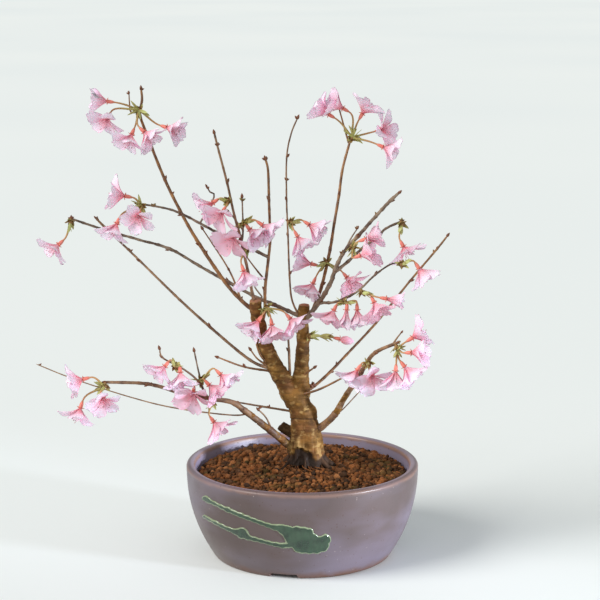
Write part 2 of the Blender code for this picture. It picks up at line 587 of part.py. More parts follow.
def hub_place(spray):
    """Nearest point of the spray's shoot to its page point, with the shoot's direction and radius."""
    shoot = LIMBS.get(spray.shoot) or SHOOTS[spray.shoot]
    path, radii = shoot_curve(shoot)
    best = None
    for i in range(len(path) - 1):
        for k in range(9):
            t = k / 8
            point = path[i].lerp(path[i + 1], t)
            across, up = on_page(point)
            miss = math.hypot(across - spray.across, up - spray.up)
            if best is None or miss < best[0]:
                best = (miss, point, (path[i + 1] - path[i]).normalized(),
                        radii[i] + (radii[i + 1] - radii[i]) * t)
    return best[1:]


def calyx_mouths(spray):
    """World places (mm) of the calyx mouths and the flowers' directions."""
    back = hub_place(spray)[0].y
    places = []
    for bloom in spray.blooms:
        axis = aim(bloom.heading, bloom.lean)
        places.append((spot(bloom.across, bloom.up, back - bloom.nearer) + axis * MOUTH_AHEAD, axis))
    return places


def knob_centre(spray):
    """Centre of the scaly knob that a spray's stalks grow from, seated on the front of its shoot."""
    hub, along, radius = hub_place(spray)
    mouths = calyx_mouths(spray)
    lean = sum(((mouth - hub).normalized() for mouth, _ in mouths), Vector()) - PAGE_IN
    lean = (lean - along * lean.dot(along)).normalized()
    return hub + lean * (radius + KNOB_RADIUS + GAP), lean, along


def calyx(name, knob, mouth, axis, finish):
    """Stalk and calyx in one: a thin curved stalk, a tube, and five sepals round its mouth."""
    throat = mouth - axis * CALYX_LENGTH
    span = (throat - knob).length
    first = knob + (throat - knob).normalized() * span / 3
    second = throat - axis * span / 3
    stem = [knob * (1 - t) ** 3 + first * 3 * t * (1 - t) ** 2 + second * 3 * t * t * (1 - t) + throat * t ** 3
            for t in ((0.0, 0.55) if span > SHORT_STALK else (0.0,))]
    path = stem + [throat, mouth - axis * 0.55, mouth]
    radii = [STALK_RADIUS] * len(stem) + [STALK_RADIUS * 1.5, CALYX_RADIUS, CALYX_RADIUS]
    points, across = [], side_vector(path[1] - path[0])
    for i, centre in enumerate(path):
        along = (path[min(i + 1, len(path) - 1)] - path[max(i - 1, 0)]).normalized()
        across = (across - along * across.dot(along)).normalized()
        other = along.cross(across)
        for k in range(PETALS):
            angle = 2 * math.pi * k / PETALS
            points.append(centre + (across * math.cos(angle) + other * math.sin(angle)) * radii[i])
    faces = [(i * PETALS + k, i * PETALS + (k + 1) % PETALS, (i + 1) * PETALS + (k + 1) % PETALS,
              (i + 1) * PETALS + k) for i in range(len(path) - 2) for k in range(PETALS)]
    lower, upper = (len(path) - 2) * PETALS, (len(path) - 1) * PETALS
    for k in range(PETALS):
        angle = 2 * math.pi * (k + 0.5) / PETALS
        tip = len(points)
        points.append(mouth - axis * 1.1 + (across * math.cos(angle) + other * math.sin(angle)) * SEPAL_REACH)
        a, b = k, (k + 1) % PETALS
        faces += [(upper + a, upper + b, tip), (lower + b, lower + a, tip),
                  (lower + a, upper + a, tip), (upper + b, lower + b, tip)]
    faces += [tuple(range(PETALS)), tuple(upper + k for k in range(PETALS))]
    return solid(name, points, faces, finish)


def make_stalks(spray, finish):
    """A spray's knob, bracts, stalks and calyxes in one solid."""
    centre, lean, along = knob_centre(spray)
    path = [centre - along * KNOB_RADIUS * 1.2, centre, centre + along * KNOB_RADIUS * 1.2]
    knob = tube("stalks_" + spray.name, path, [0.9, KNOB_RADIUS, 0.9], 5, finish)
    pieces = [calyx("stalk", centre, mouth, axis, finish) for mouth, axis in calyx_mouths(spray)]
    for side in (-1.0, 1.0):
        bract = (lean + along * 0.9 * side).normalized()
        pieces.append(tube("bract", [centre, centre + bract * 6.0], [1.2, 0.15], 3, finish))
    return boolean(knob, pieces, "UNION")


def corolla(name, mouth, axis, bloom, finish):
    """Five notched petals round a small hub, in one closed surface with lens-shaped petals."""
    across = side_vector(axis)
    across = Matrix.Rotation(math.radians(bloom.spin), 3, axis) @ across
    other = axis.cross(across)

    def place(radius, angle, height):
        return mouth + (across * math.cos(angle) + other * math.sin(angle)) * radius + axis * height

    length = PETAL_LENGTH * bloom.reach
    curl = math.radians(PETAL_CURL_DEG)
    start = math.radians(bloom.opening) - curl / 2
    widest = start + curl * PETAL_WIDEST
    reach = HUB_RADIUS * 0.8 + length * (math.cos(start) - math.cos(widest)) / curl
    share = math.tan(math.radians(PETAL_SHARE_DEG))
    half = min(PETAL_HALF_WIDTH * bloom.reach, reach * share / (1.0 + PETAL_CUP * share * math.cos(widest)))

    def petal_point(angle, along, aside, lift):
        tilt = start + curl * along
        radius = HUB_RADIUS * 0.8 + length * (math.cos(start) - math.cos(tilt)) / curl
        height = GAP + 0.5 + length * (math.sin(tilt) - math.sin(start)) / curl
        lift += aside * math.tan(math.radians(PETAL_TWIST_DEG)) + PETAL_CUP * abs(aside)
        radius, height = radius - lift * math.cos(tilt), height + lift * math.sin(tilt)
        side = across * -math.sin(angle) + other * math.cos(angle)
        return place(radius, angle, height) + side * aside

    points = [place(0.0, 0.0, GAP + PETAL_THICKNESS + 0.7), place(0.0, 0.0, GAP)]
    for level in (GAP + PETAL_THICKNESS, GAP):
        points += [place(HUB_RADIUS, 2 * math.pi * (k - 0.5) / PETALS, level) for k in range(PETALS)]
    faces = []
    for k in range(PETALS):
        angle = 2 * math.pi * k / PETALS
        top, low = (2 + k, 2 + (k + 1) % PETALS), (7 + k, 7 + (k + 1) % PETALS)
        base = len(points)
        outline = ((PETAL_WIDEST, -half), (1.0, -half * 0.5), (PETAL_NOTCH, 0.0), (1.0, half * 0.5),
                   (PETAL_WIDEST, half))
        points += [petal_point(angle, s, w, 0.0) for s, w in outline]
        points += [petal_point(angle, PETAL_WIDEST, 0.0, lift * PETAL_THICKNESS / 2) for lift in (1.0, -1.0)]
        rim = range(base, base + 5)
        for (a, b), crown, middle in ((top, base + 5, 0), (low, base + 6, 1)):
            round_petal = (a, *rim, b)
            faces += [(c, d, crown) for c, d in zip(round_petal, (*rim, b, a))]
            faces.append((a, b, middle))
        faces += [(top[0], rim[0], low[0]), (top[1], rim[-1], low[1])]
    return solid(name, points, faces, finish)


def folded_petals(name, mouth, axis, bloom, finish):
    """Petals still wrapped in an egg-shaped bud."""
    length = PETAL_LENGTH * bloom.reach * 0.8
    rows = ((0.0, 0.4), (0.2, 0.85), (0.45, 1.0), (0.75, 0.72), (1.0, 0.12))
    path = [mouth + axis * (GAP + length * along) for along, _ in rows]
    return tube(name, path, [BUD_HALF_WIDTH * width for _, width in rows], PETALS * 2, finish,
                lambda ring, angle: 1.0 + 0.06 * math.cos(PETALS * angle))


def make_corollas(spray, finish):
    """A spray's corollas, with neighbours whose petals touch fused in one solid."""
    places = {bloom.letter: (bloom, *place) for bloom, place in zip(spray.blooms, calyx_mouths(spray))}
    made = []
    for group in spray.groups.split():
        shapes = []
        for letter in group:
            bloom, mouth, axis = places[letter]
            shape = folded_petals if bloom.opening < BUD_OPENING else corolla
            shapes.append(shape(f"petals_{spray.name}_{group}", mouth, axis, bloom, finish))
        made.append(boolean(shapes[0], shapes[1:], "UNION") if len(shapes) > 1 else shapes[0])
    return made


def main():
    for existing in list(bpy.data.objects):
        bpy.data.objects.remove(existing)
    stoneware = material("stoneware", (0.17, 0.13, 0.13), 0.55)
    earth = material("granular_soil", (0.16, 0.07, 0.03), 0.95)
    bark = material("cherry_bark", (0.2, 0.13, 0.07), 0.7)
    stalk = material("calyx_and_stalk", (0.42, 0.16, 0.1), 0.55)
    petal = material("petal", (0.85, 0.5, 0.62), 0.6)
    make_pot(stoneware)
    make_soil(earth, make_trunk("trunk_hole", GAP, earth))
    make_tree(bark)
    for spray in SPRAYS:
        make_stalks(spray, stalk)
        make_corollas(spray, petal)


main()
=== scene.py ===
"""Looks of a flowering cherry bonsai in a round stoneware pot.

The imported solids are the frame. Every node is replaced here by a finer piece of
the same form: a turned pot with a poured glaze splash, granular soil, barked
trunk and shoots, and sprays of blossom with veined petals, stamens, calyxes and
bracts. Shapes are worked out in millimetres and stored in metres.
"""

import logging
import math
import random
from dataclasses import dataclass, field
from enum import Enum

import bmesh
import bpy
import numpy as np
from mathutils import Matrix, Vector, noise


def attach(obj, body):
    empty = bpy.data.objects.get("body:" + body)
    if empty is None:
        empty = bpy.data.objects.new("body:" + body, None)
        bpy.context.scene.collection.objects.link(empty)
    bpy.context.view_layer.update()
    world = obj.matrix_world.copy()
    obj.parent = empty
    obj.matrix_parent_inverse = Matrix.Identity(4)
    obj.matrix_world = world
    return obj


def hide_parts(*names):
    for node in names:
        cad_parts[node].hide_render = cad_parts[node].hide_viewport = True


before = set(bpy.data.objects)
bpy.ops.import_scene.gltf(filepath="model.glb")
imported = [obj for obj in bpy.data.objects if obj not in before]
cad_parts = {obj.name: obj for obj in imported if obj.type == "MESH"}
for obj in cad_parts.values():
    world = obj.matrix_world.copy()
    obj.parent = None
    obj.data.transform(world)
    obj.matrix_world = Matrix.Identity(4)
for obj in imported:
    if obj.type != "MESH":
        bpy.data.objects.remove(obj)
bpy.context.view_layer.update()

LOG = logging.getLogger("bonsai")
MM = 0.001
GAP = 0.3
TAU = 2 * math.pi
SHOOT_TAPER = 0.7
Triple = tuple[float, float, float]
Colour = Triple
Faces = list[tuple[int, ...]]
Skin = tuple[np.ndarray, Faces]
Thing = bpy.types.Object
Material = bpy.types.Material
Socket = bpy.types.NodeSocket


class Slot(Enum):
    """Material slots of the record."""

    STONEWARE = "stoneware"
    SOIL = "granular_soil"
    BARK = "cherry_bark"
    STALK = "calyx_and_stalk"
    PETAL = "petal"


class Bark(Enum):
    """Kinds of bark on the shoots, by how grey it is."""

    BROWN = 0.0
    OLIVE = 0.45
    GREY = 1.0


@dataclass(frozen=True)
class Page:
    """The page square to the photograph's line of sight, on which the routes are drawn."""

    distance: float = 1311.0
    tilt_deg: float = 10.95
    centre: Triple = (-1.6, 0.0, 182.4)
    pixel: float = 0.7
    pixels: int = 600
    sensor: float = 36.0

    @property
    def right(self) -> Vector:
        """Direction to the right on the page."""
        return Vector((1.0, 0.0, 0.0))

    @property
    def up(self) -> Vector:
        """Direction upwards on the page."""
        tilt = math.radians(self.tilt_deg)
        return Vector((0.0, math.sin(tilt), math.cos(tilt)))

    @property
    def into(self) -> Vector:
        """Direction of sight, square to the page."""
        tilt = math.radians(self.tilt_deg)
        return Vector((0.0, math.cos(tilt), -math.sin(tilt)))

    @property
    def eye(self) -> Vector:
        """Place of the camera, in mm."""
        return Vector(self.centre) - self.into * self.distance

    @property
    def lens(self) -> float:
        """Focal length that frames the page, in mm."""
        return self.sensor * self.distance / (self.pixel * self.pixels)

    def spot(self, across: float, up: float, back: float) -> Vector:
        """World point (mm) seen at (across, up) on the page and lying at y = back."""
        sight = self.into * self.distance + self.right * across + self.up * up
        return self.eye + sight * ((back - self.eye.y) / sight.y)

    def seen(self, point: Vector) -> tuple[float, float]:
        """Where a world point (mm) is seen on the page.

        Args:
            point: The world point.

        Returns:
            How far across and how far up it is seen, in mm.
        """
        sight = point - self.eye
        scale = self.distance / sight.dot(self.into)
        return sight.dot(self.right) * scale, sight.dot(self.up) * scale

    def aim(self, heading: float, lean: float) -> Vector:
        """Unit direction on the page, leaning out of it.

        Args:
            heading: Turn on the page from its right, in degrees.
            lean: Lean towards the viewer, in degrees.

        Returns:
            The direction in the world.
        """
        turn, tilt = math.radians(heading), math.radians(lean)
        flat = self.right * math.cos(turn) + self.up * math.sin(turn)
        return flat * math.cos(tilt) - self.into * math.sin(tilt)

    def from_pixel(self, column: float, row: float) -> tuple[float, float]:
        """Page place (mm) of a pixel of the photograph."""
        half = self.pixels / 2
        return (column - half) * self.pixel, (half - row) * self.pixel


PAGE = Page()


def smooth_route(points: list[Vector], radii: list[float],
                 step: float) -> tuple[list[Vector], list[float]]:
    """Points and radii along a smooth curve through the given ones.

    Args:
        points: Places that the curve passes through, in mm.
        radii: Radius at each of them.
        step: Rough distance between the points returned.

    Returns:
        The points and their radii.
    """
    path, widths = [], []
    padded = [points[0] * 2 - points[1], *points, points[-1] * 2 - points[-2]]
    for i in range(1, len(padded) - 2):
        p0, p1, p2, p3 = padded[i - 1:i + 3]
        pieces = max(1, round((p2 - p1).length / step))
        for k in range(pieces):
            t = k / pieces
            path.append(0.5 * (2 * p1 + (p2 - p0) * t + (2 * p0 - 5 * p1 + 4 * p2 - p3) * t ** 2
                               + (3 * p1 - p0 - 3 * p2 + p3) * t ** 3))
            widths.append(radii[i - 1] + (radii[i] - radii[i - 1]) * t)
    return path + [points[-1]], widths + [radii[-1]]


@dataclass(frozen=True)
class Shoot:
    """One shoot: its end radii and its route as (across, up, back) on the page."""

    thick: float
    thin: float
    route: tuple[Triple, ...]
    buds: bool = True

    def curve(self, step: float) -> tuple[list[Vector], list[float]]:
        """Centre line (mm) and radii along the shoot.

        Args:
            step: Rough distance between the points.

        Returns:
            The points and their radii.
        """
        points = [PAGE.spot(*place) for place in self.route]
        last = len(points) - 1
        radii = [self.thick + (self.thin - self.thick) * (i / last) ** SHOOT_TAPER
                 for i in range(last + 1)]
        return smooth_route(points, radii, step)


@dataclass(frozen=True)
class Bloom:
    """One flower: its calyx on the page, how much nearer than its hub, and its pose."""

    letter: str
    across: float
    up: float
    nearer: float
    heading: float
    lean: float
    opening: float
    reach: float = 1.0
    spin: float = 0.0


@dataclass(frozen=True)
class Spray:
    """One spray: the shoot and page point it grows from, its flowers, and which are fused."""

    name: str
    shoot: str
    across: float
    up: float
    blooms: tuple[Bloom, ...]
    groups: str


LIMBS = {
    "left_limb": Shoot(7.6, 4, (
        (-2.8, -72, 4), (-8.4, -61.6, 3), (-14, -52.5, 1), (-19, -43.4, -1),
        (-23, -35, -3), (-26.6, -27.3, -4.5), (-30.3, -9, -7), (-31.5, 0.7, -8)), False),
    "right_limb": Shoot(7.2, 3.7, (
        (-1, -73, 4), (0.2, -62, 5), (0.9, -52.5, 6.5), (1.5, -42, 8),
        (2.1, -28, 9.5), (2.3, -14, 10.5), (2.8, -2.8, 11)), False),
    "old_stub": Shoot(4.4, 3.6, ((0, -96, 6), (-8, -91.5, 7.5), (-13.5, -87.5, 8.5)), False),
}

SHOOTS = {
    "A": Shoot(1.55, 0.85, (
        (-31, -8, -7), (-39.9, -1.4, -7), (-52.5, 12.6, -3), (-70, 38.5, 5),
        (-81.2, 57.4, 11), (-94.5, 84, 19), (-107.1, 115.5, 28), (-112, 130, 32),
        (-110.6, 140, 34), (-111.3, 148.4, 36))),
    "B": Shoot(1.3, 0.8, (
        (-28.5, -20, -6), (-24.7, -8.4, -8), (-24.5, 7, -9), (-22.4, 26.6, -10),
        (-21, 42, -12), (-21.7, 70, -16), (-22.4, 91, -20), (-24.5, 99.4, -22))),
    "C": Shoot(1.25, 0.7, (
        (-31.5, -5, -8), (-33.6, 6, -10), (-36.4, 19.6, -14), (-41.3, 42, -21),
        (-46.2, 60.2, -27), (-51, 82, -33), (-56.7, 103.6, -40), (-60.2, 117.6, -44))),
    "D": Shoot(0.75, 0.55, (
        (0.5, -13, 10.5), (-5.6, 0, 12), (-7.4, 18, 15), (-8.4, 45, 18),
        (-9.4, 70, 21), (-9.3, 100, 24), (-6, 117, 26), (-1.4, 128, 27))),
    "E": Shoot(1.4, 0.9, (
        (3, -16, 10.5), (9.8, -4.9, 12), (15.4, 10.5, 15), (21, 35, 21),
        (23.8, 52.5, 26), (27.3, 73.5, 32), (29.9, 92, 37), (35.5, 113, 44))),
    "E_tip": Shoot(0.7, 0.45, ((34, 110, 43), (29, 128, 48), (23.8, 147.7, 52)), False),
    "F": Shoot(1.8, 1, (
        (2.5, -16, 10), (14, -0.7, 2), (21.7, 12.6, -6), (24.5, 21, -10),
        (30.8, 33.6, -16), (40.6, 44.8, -24), (53.9, 59.5, -36), (63, 69.3, -44),
        (70, 75.6, -50))),
    "G": Shoot(1.2, 0.8, (
        (24, 19, -9.5), (33.6, 27, -11), (45.5, 37.8, -9), (54.6, 44.1, -6),
        (60, 50, -3), (71.4, 55.3, 0))),
    "arc": Shoot(1.1, 0.5, (
        (13, -2, 3), (24, -1.5, -6), (31.5, 1.4, -12), (40.6, 6.3, -16),
        (52.5, 17.5, -21), (63, 24.8, -24), (71.4, 26.6, -26))),
    "H": Shoot(1.3, 0.7, (
        (0, -65.5, 4), (9.1, -60.9, 8), (21, -50.4, 13), (35, -35.7, 20),
        (53.2, -16.1, 29), (77, 13.3, 42), (95.9, 35.7, 52), (103.6, 45.5, 55))),
    "I": Shoot(1, 0.6, ((0, -66.5, 0), (14, -62.3, -6), (33.6, -52.5, -16))),
    "J": Shoot(3.1, 1.1, (
        (4, -95, 4), (14.7, -88.9, 1), (24.5, -79.8, -6), (31.5, -67.9, -13),
        (40.6, -54.6, -22), (46.2, -45, -28), (53, -36.6, -34), (69, -29.5, -46))),
    "K": Shoot(0.5, 0.4, ((22.5, -82.5, -4), (30, -76.5, -4), (42, -63.7, 2)), False),
    "L": Shoot(1.3, 0.7, (
        (-19, -48.5, 0), (-35, -42, 6), (-63, -18.9, 17), (-84, 0, 25),
        (-112, 27.3, 36), (-134.4, 49, 44), (-142.1, 56.7, 46))),
    "M": Shoot(0.9, 0.55, ((-15, -50.5, -1), (-38.5, -46.9, -12), (-58.1, -39.9, -20))),
    "N": Shoot(1.4, 0.8, (
        (1.5, -12, 11), (-17.5, -3.5, 11), (-29.4, 1.4, 10), (-50.4, 12.6, 9),
        (-67.9, 22.4, 6), (-91, 35.7, -2), (-112, 42, -9), (-134.4, 48.3, -17),
        (-160.5, 57, -26))),
    "O": Shoot(1.1, 0.7, (
        (-22.2, 30, -10.5), (-42, 39.9, -10), (-56, 46.2, -14), (-82.6, 60.2, -25),
        (-96, 64.6, -31), (-114, 67.5, -38))),
    "O_twig": Shoot(0.8, 0.5, ((-41, 39.5, -10), (-39.9, 49, -13), (-40.6, 72.8, -17))),
    "A_twig": Shoot(0.8, 0.45, ((-41, -0.5, -7), (-49.7, 21, -12), (-68.6, 50.4, -19))),
    "B_twig": Shoot(0.7, 0.45, ((-24.2, 13.5, -9), (-31.5, 22.4, -7), (-37.8, 30.8, -4))),
    "P": Shoot(3.3, 1, (
        (3, -105, 4), (-7, -102, 1), (-21, -91, -3), (-38.5, -77.7, -8),
        (-47, -71.8, -11), (-59.5, -69.3, -15), (-80.5, -65.8, -22), (-106.4, -58.8, -31),
        (-137, -57.5, -42))),
    "P_fork": Shoot(0.9, 0.5, (
        (-64.5, -68.5, -16.5), (-72.1, -56, -22), (-83, -47.5, -28), (-96, -40.5, -34),
        (-98.5, -33.5, -36))),
    "P_twig": Shoot(0.8, 0.5, ((-66, -68, -17), (-70, -54.6, -14), (-74.2, -35, -10))),
    "P_spur": Shoot(0.8, 0.5, ((-20, -90, -3.5), (-24, -82, -6), (-29.4, -76.5, -9))),
    "Q": Shoot(0.9, 0.6, ((1, -79, 3), (-26.6, -74.5, 6), (-44, -71.5, 10))),
    "R": Shoot(0.6, 0.4, (
        (-35, -79.5, -7), (-49, -80.5, -3), (-87.5, -75.6, 5), (-119, -67.9, 11),
        (-158.2, -55.3, 19), (-184.8, -44.8, 24)), False),
    "crotch": Shoot(1.1, 0.7, ((-7, -56, 3), (-7.7, -36, 2), (-8.4, -23.8, 1))),
    "limb_shoot": Shoot(0.9, 0.6, ((-19.5, -46.5, -3), (-27.5, -39, -7), (-31.8, -26.6, -8))),
    "limb_spur": Shoot(0.8, 0.5, ((-19, -48.5, -3), (-29.4, -41.5, -8), (-35, -34.3, -10))),
    "right_spur": Shoot(0.9, 0.6, ((1, -54.5, 3), (5.6, -50.4, 0), (10.5, -46.9, -2))),
}

SPRAYS = (
    Spray("01", "A", -112.4, 133, (
        Bloom("a", -131.5, 138.6, 14, 173, 5, 40, 0.95, 36),
        Bloom("b", -133, 130.2, 5, 250, 30, 70, 1, 18),
        Bloom("c", -116.5, 119, 10, 249, 15, 60),
        Bloom("d", -111.5, 120, 12, 316, 10, 54, 1, 18),
        Bloom("e", -96.6, 121.8, 4, 341, 15, 46)), "ab cd e"),
    Spray("02", "E", 36.5, 114, (
        Bloom("a", 23.1, 128.1, 3, 149, 0, 48, 1, 54),
        Bloom("b", 32.9, 132.5, 6, 152, 15, 46),
        Bloom("c", 42, 127.5, 3, 60, 15, 60, 1, 36),
        Bloom("d", 53.5, 118.3, 0, 12, 40, 70, 1, 18),
        Bloom("e", 55, 108.5, 7, 336, 5, 50)), "ab c de"),
    Spray("03", "O", -112.5, 67.5, (
        Bloom("a", -119, 72.1, 6, 170, 5, 52),
        Bloom("b", -126.7, 56.7, 7, 246, 10, 56),
        Bloom("c", -112, 61.6, 10, 262, 50, 66, 0.85)), "a b c"),
    Spray("04", "N", -159.5, 56.7, (
        Bloom("a", -166.5, 41, 4, 225, 15, 64, 0.95),), "a"),
    Spray("05", "C", -48.3, 70, (
        Bloom("a", -58.1, 70, 3, 214, 5, 54, 1, 36),
        Bloom("b", -52.5, 64.4, 9, 240, 30, 68)), "ab"),
    Spray("06", "O_twig", -40.6, 54.6, (
        Bloom("a", -45.5, 46.9, 4, 254, 38, 70, 1.08, 36),
        Bloom("b", -37.1, 51.5, 8, 313, 25, 48),
        Bloom("c", -29.4, 54.6, 8, 325, 0, 54, 1, 54)), "abc"),
    Spray("07", "O", -38, 37.8, (
        Bloom("a", -40.6, 23.8, 10, 288, 10, 50),), "a"),
    Spray("08", "D", -8.4, 55.3, (
        Bloom("a", 3.5, 54.6, -5, 327, 10, 46, 1, 18),
        Bloom("b", -3.5, 47.6, 9, 299, 0, 50, 1, 36)), "a b"),
    Spray("09", "E", 18.9, 26, (
        Bloom("a", 11.2, 24.5, 3, 168, 0, 40, 0.9),
        Bloom("b", 10.5, 14.7, 7.5, 246, 10, 56, 1, 54),
        Bloom("c", 30.8, 18.2, 8, 310, 20, 60)), "a b c"),
    Spray("10", "F", 36, 39.8, (
        Bloom("a", 42.5, 41.5, 7, 18, 5, 38, 0.9, 36),
        Bloom("b", 39, 30, 6, 18, 15, 54, 1, 36)), "ab"),
    Spray("11", "G", 70.5, 55, (
        Bloom("a", 70.7, 40.6, 4, 297, 5, 68),), "a"),
    Spray("12", "arc", 71, 26.6, (
        Bloom("a", 81.2, 25.2, 2, 304, 0, 50),), "a"),
    Spray("13", "arc", 31.5, 1.4, (
        Bloom("a", 25.2, -4.2, 3, 243, 5, 56),
        Bloom("b", 32.9, -3.5, 5, 266, 0, 24, 0.95, 54),
        Bloom("c", 39.9, -3.5, 2, 272, 0, 38, 0.9, 36)), "abc"),
    Spray("14", "arc", 41.5, 7, (
        Bloom("a", 50.4, 1.4, 5, 294, 15, 58, 1, 18),
        Bloom("b", 57, 1.5, 8, 350, 0, 26, 0.85, 36)), "ab"),
    Spray("15", "right_limb", 5.5, -24, (
        Bloom("a", 24.5, -26.6, 3, 348, 0, 8, 0.8),), "a"),
    Spray("16", "J", 48.3, -41.5, (
        Bloom("a", 42, -46.2, 9, 237, 0, 44, 0.95, 18),
        Bloom("b", 49, -50, 2, 290, 45, 68)), "ab"),
    Spray("17", "J", 66.5, -31, (
        Bloom("a", 67.2, -46.2, 5, 266, 0, 44),
        Bloom("b", 71, -43.8, 4, 308, 5, 46, 1, 36),
        Bloom("c", 74.5, -37, 7, 2, 20, 46, 0.95, 18),
        Bloom("d", 75.6, -28.4, 3, 32, 0, 56, 1, 54)), "ab cd"),
    Spray("18", "B", -24.6, -4.5, (
        Bloom("a", -27.3, -11.9, 9, 235, 15, 50),
        Bloom("b", -20.3, -14, 8, 279, 10, 56, 1, 54),
        Bloom("c", -9.1, -10.5, 6, 312, 15, 60)), "abc"),
    Spray("19", "P", -136.8, -57.5, (
        Bloom("a", -148.4, -54.6, 3, 194, 5, 52),
        Bloom("b", -152.6, -72.1, 4, 252, 5, 60),
        Bloom("c", -139, -65.8, 8, 290, 45, 64, 0.9)), "a b c"),
    Spray("20", "P_fork", -87.5, -45, (
        Bloom("a", -92.4, -43.7, 6, 233, 15, 58, 1, 36),
        Bloom("b", -84, -47.2, 5, 274, 10, 54)), "ab"),
    Spray("21", "P_twig", -69.6, -55.5, (
        Bloom("a", -74.2, -61.6, 8, 263, 35, 70, 1.08, 18),
        Bloom("b", -66, -57, 9, 313, 5, 50),
        Bloom("c", -58.1, -49.7, 4, 315, 5, 52, 1, 36)), "abc"),
    Spray("22", "P", -60.8, -69, (
        Bloom("a", -62.3, -82.6, 4, 306, 10, 56),), "a"),
)


def shoot_named(name: str) -> Shoot:
    """The limb or shoot of a name."""
    return LIMBS.get(name) or SHOOTS[name]


def side_vector(direction: Vector) -> Vector:
    """Unit vector square to a direction."""
    helper = Vector((0.0, 0.0, 1.0)) if abs(direction.z) < 0.9 else Vector((1.0, 0.0, 0.0))
    return direction.cross(helper).normalized()


def spoke(across: Vector, other: Vector, turn: float) -> Vector:
    """Direction at a turn (radians) from one direction towards another square to it."""
    return across * math.cos(turn) + other * math.sin(turn)


def as_rows(vectors: list[Vector]) -> np.ndarray:
    """Array with a row for each vector."""
    return np.array([tuple(vector) for vector in vectors], float)


def unit(rows: np.ndarray) -> np.ndarray:
    """Rows scaled to length one."""
    return rows / np.maximum(np.linalg.norm(rows, axis=-1, keepdims=True), 1e-9)


def held(values: np.ndarray) -> np.ndarray:
    """Values held between 0 and 1."""
    return np.clip(values, 0.0, 1.0)


def bell(values: np.ndarray, width: float) -> np.ndarray:
    """Smooth bump of height one where the values are near zero."""
    return np.exp(-(values / width) ** 2)


def turns(count: int) -> np.ndarray:
    """Even turns round a circle, in radians."""
    return np.arange(count) * TAU / count


def ring(turn: np.ndarray, reach: float | np.ndarray, height: float | np.ndarray) -> np.ndarray:
    """Points at given turns, distances out and heights, one a row."""
    return np.stack([np.cos(turn) * reach, np.sin(turn) * reach,
                     np.broadcast_to(height, turn.shape)], axis=1)


def run_along(path: np.ndarray) -> np.ndarray:
    """Distance along a path at each of its points."""
    steps = np.linalg.norm(np.diff(path, axis=0), axis=1)
    return np.concatenate([[0.0], np.cumsum(steps)])


def blade_grid(rows: int, columns: int) -> tuple[np.ndarray, np.ndarray]:
    """How far along (0 to 1) and aside (-1 to 1) each point of a blade lies."""
    return np.meshgrid(np.linspace(0.0, 1.0, rows), np.linspace(-1.0, 1.0, columns), indexing="ij")


def laid(start: Vector, *steps: tuple[np.ndarray, Vector]) -> np.ndarray:
    """Points reached from a start by amounts along directions, in the amounts' grid."""
    return np.array(start) + sum(amount[..., None] * np.array(way) for amount, way in steps)


def carried_frame(path: np.ndarray) -> tuple[np.ndarray, np.ndarray, np.ndarray]:
    """Directions along a path and square to it, carried along it without twist.

    Args:
        path: Points of the path, one a row.

    Returns:
        The directions along, across and square to both, one a row.
    """
    along = unit(np.gradient(path, axis=0))
    across = np.empty_like(path)
    current = np.array(side_vector(Vector(along[0])))
    for i, forward in enumerate(along):
        current = current - forward * current.dot(forward)
        current /= np.linalg.norm(current)
        across[i] = current
    return along, across, np.cross(along, across)


def grid_faces(rows: int, columns: int, closed: bool, first: int = 0) -> Faces:
    """Quads over a grid of points.

    Args:
        rows: Number of rows.
        columns: Points in a row.
        closed: Whether the last column joins the first.
        first: Number of the grid's first point.

    Returns:
        The faces.
    """
    faces = []
    for i in range(rows - 1):
        for k in range(columns if closed else columns - 1):
            a, b = first + i * columns + k, first + i * columns + (k + 1) % columns
            faces.append((a, b, b + columns, a + columns))
    return faces


def capped_rings(start: float, rings: list[np.ndarray], end: float) -> Skin:
    """Closed skin over rings round the upright axis.

    Args:
        start: Height of the middle of the first cap.
        rings: Points of each ring.
        end: Height of the middle of the last cap.

    Returns:
        The points and the faces.
    """
    count = len(rings[0])
    last = 1 + (len(rings) - 1) * count
    faces = [(0, 1 + k, 1 + (k + 1) % count) for k in range(count)]
    faces += grid_faces(len(rings), count, True, 1)
    faces += [(last + count, last + (k + 1) % count, last + k) for k in range(count)]
    return np.concatenate([[[0.0, 0.0, start]], *rings, [[0.0, 0.0, end]]]), faces


def sweep(path: np.ndarray, radii: np.ndarray, sides: int) -> Skin:
    """Closed tube round a path.

    Args:
        path: Centre line, one point a row.
        radii: Radius for each point, or for each point and side.
        sides: Number of sides.

    Returns:
        The points and the faces.
    """
    _, across, other = carried_frame(path)
    turn = turns(sides)[None, :, None]
    out = across[:, None] * np.cos(turn) + other[:, None] * np.sin(turn)
    reach = radii if radii.ndim == 2 else radii[:, None]
    points = (path[:, None] + out * reach[..., None]).reshape(-1, 3)
    faces = grid_faces(len(path), sides, True)
    faces.append(tuple(reversed(range(sides))))
    faces.append(tuple(range(len(points) - sides, len(points))))
    return points, faces


def shell(top: np.ndarray, thickness: float) -> Skin:
    """Closed thin blade from a grid of points.

    Args:
        top: Points of the blade's middle surface, as (rows, columns, 3).
        thickness: Thickness in mm.

    Returns:
        The points, both skins in turn, and the faces.
    """
    rows, columns = top.shape[:2]
    normal = unit(np.cross(np.gradient(top, axis=0), np.gradient(top, axis=1)))
    points = np.concatenate([(top + normal * thickness / 2).reshape(-1, 3),
                             (top - normal * thickness / 2).reshape(-1, 3)])
    count = rows * columns
    faces = [tuple(reversed(face)) for face in grid_faces(rows, columns, False)]
    faces += grid_faces(rows, columns, False, count)
    border = list(range(columns))
    border += [i * columns + columns - 1 for i in range(1, rows)]
    border += [(rows - 1) * columns + k for k in range(columns - 2, -1, -1)]
    border += [i * columns for i in range(rows - 2, 0, -1)]
    faces += [(b, a, a + count, b + count) for a, b in zip(border, border[1:] + border[:1])]
    return points, faces


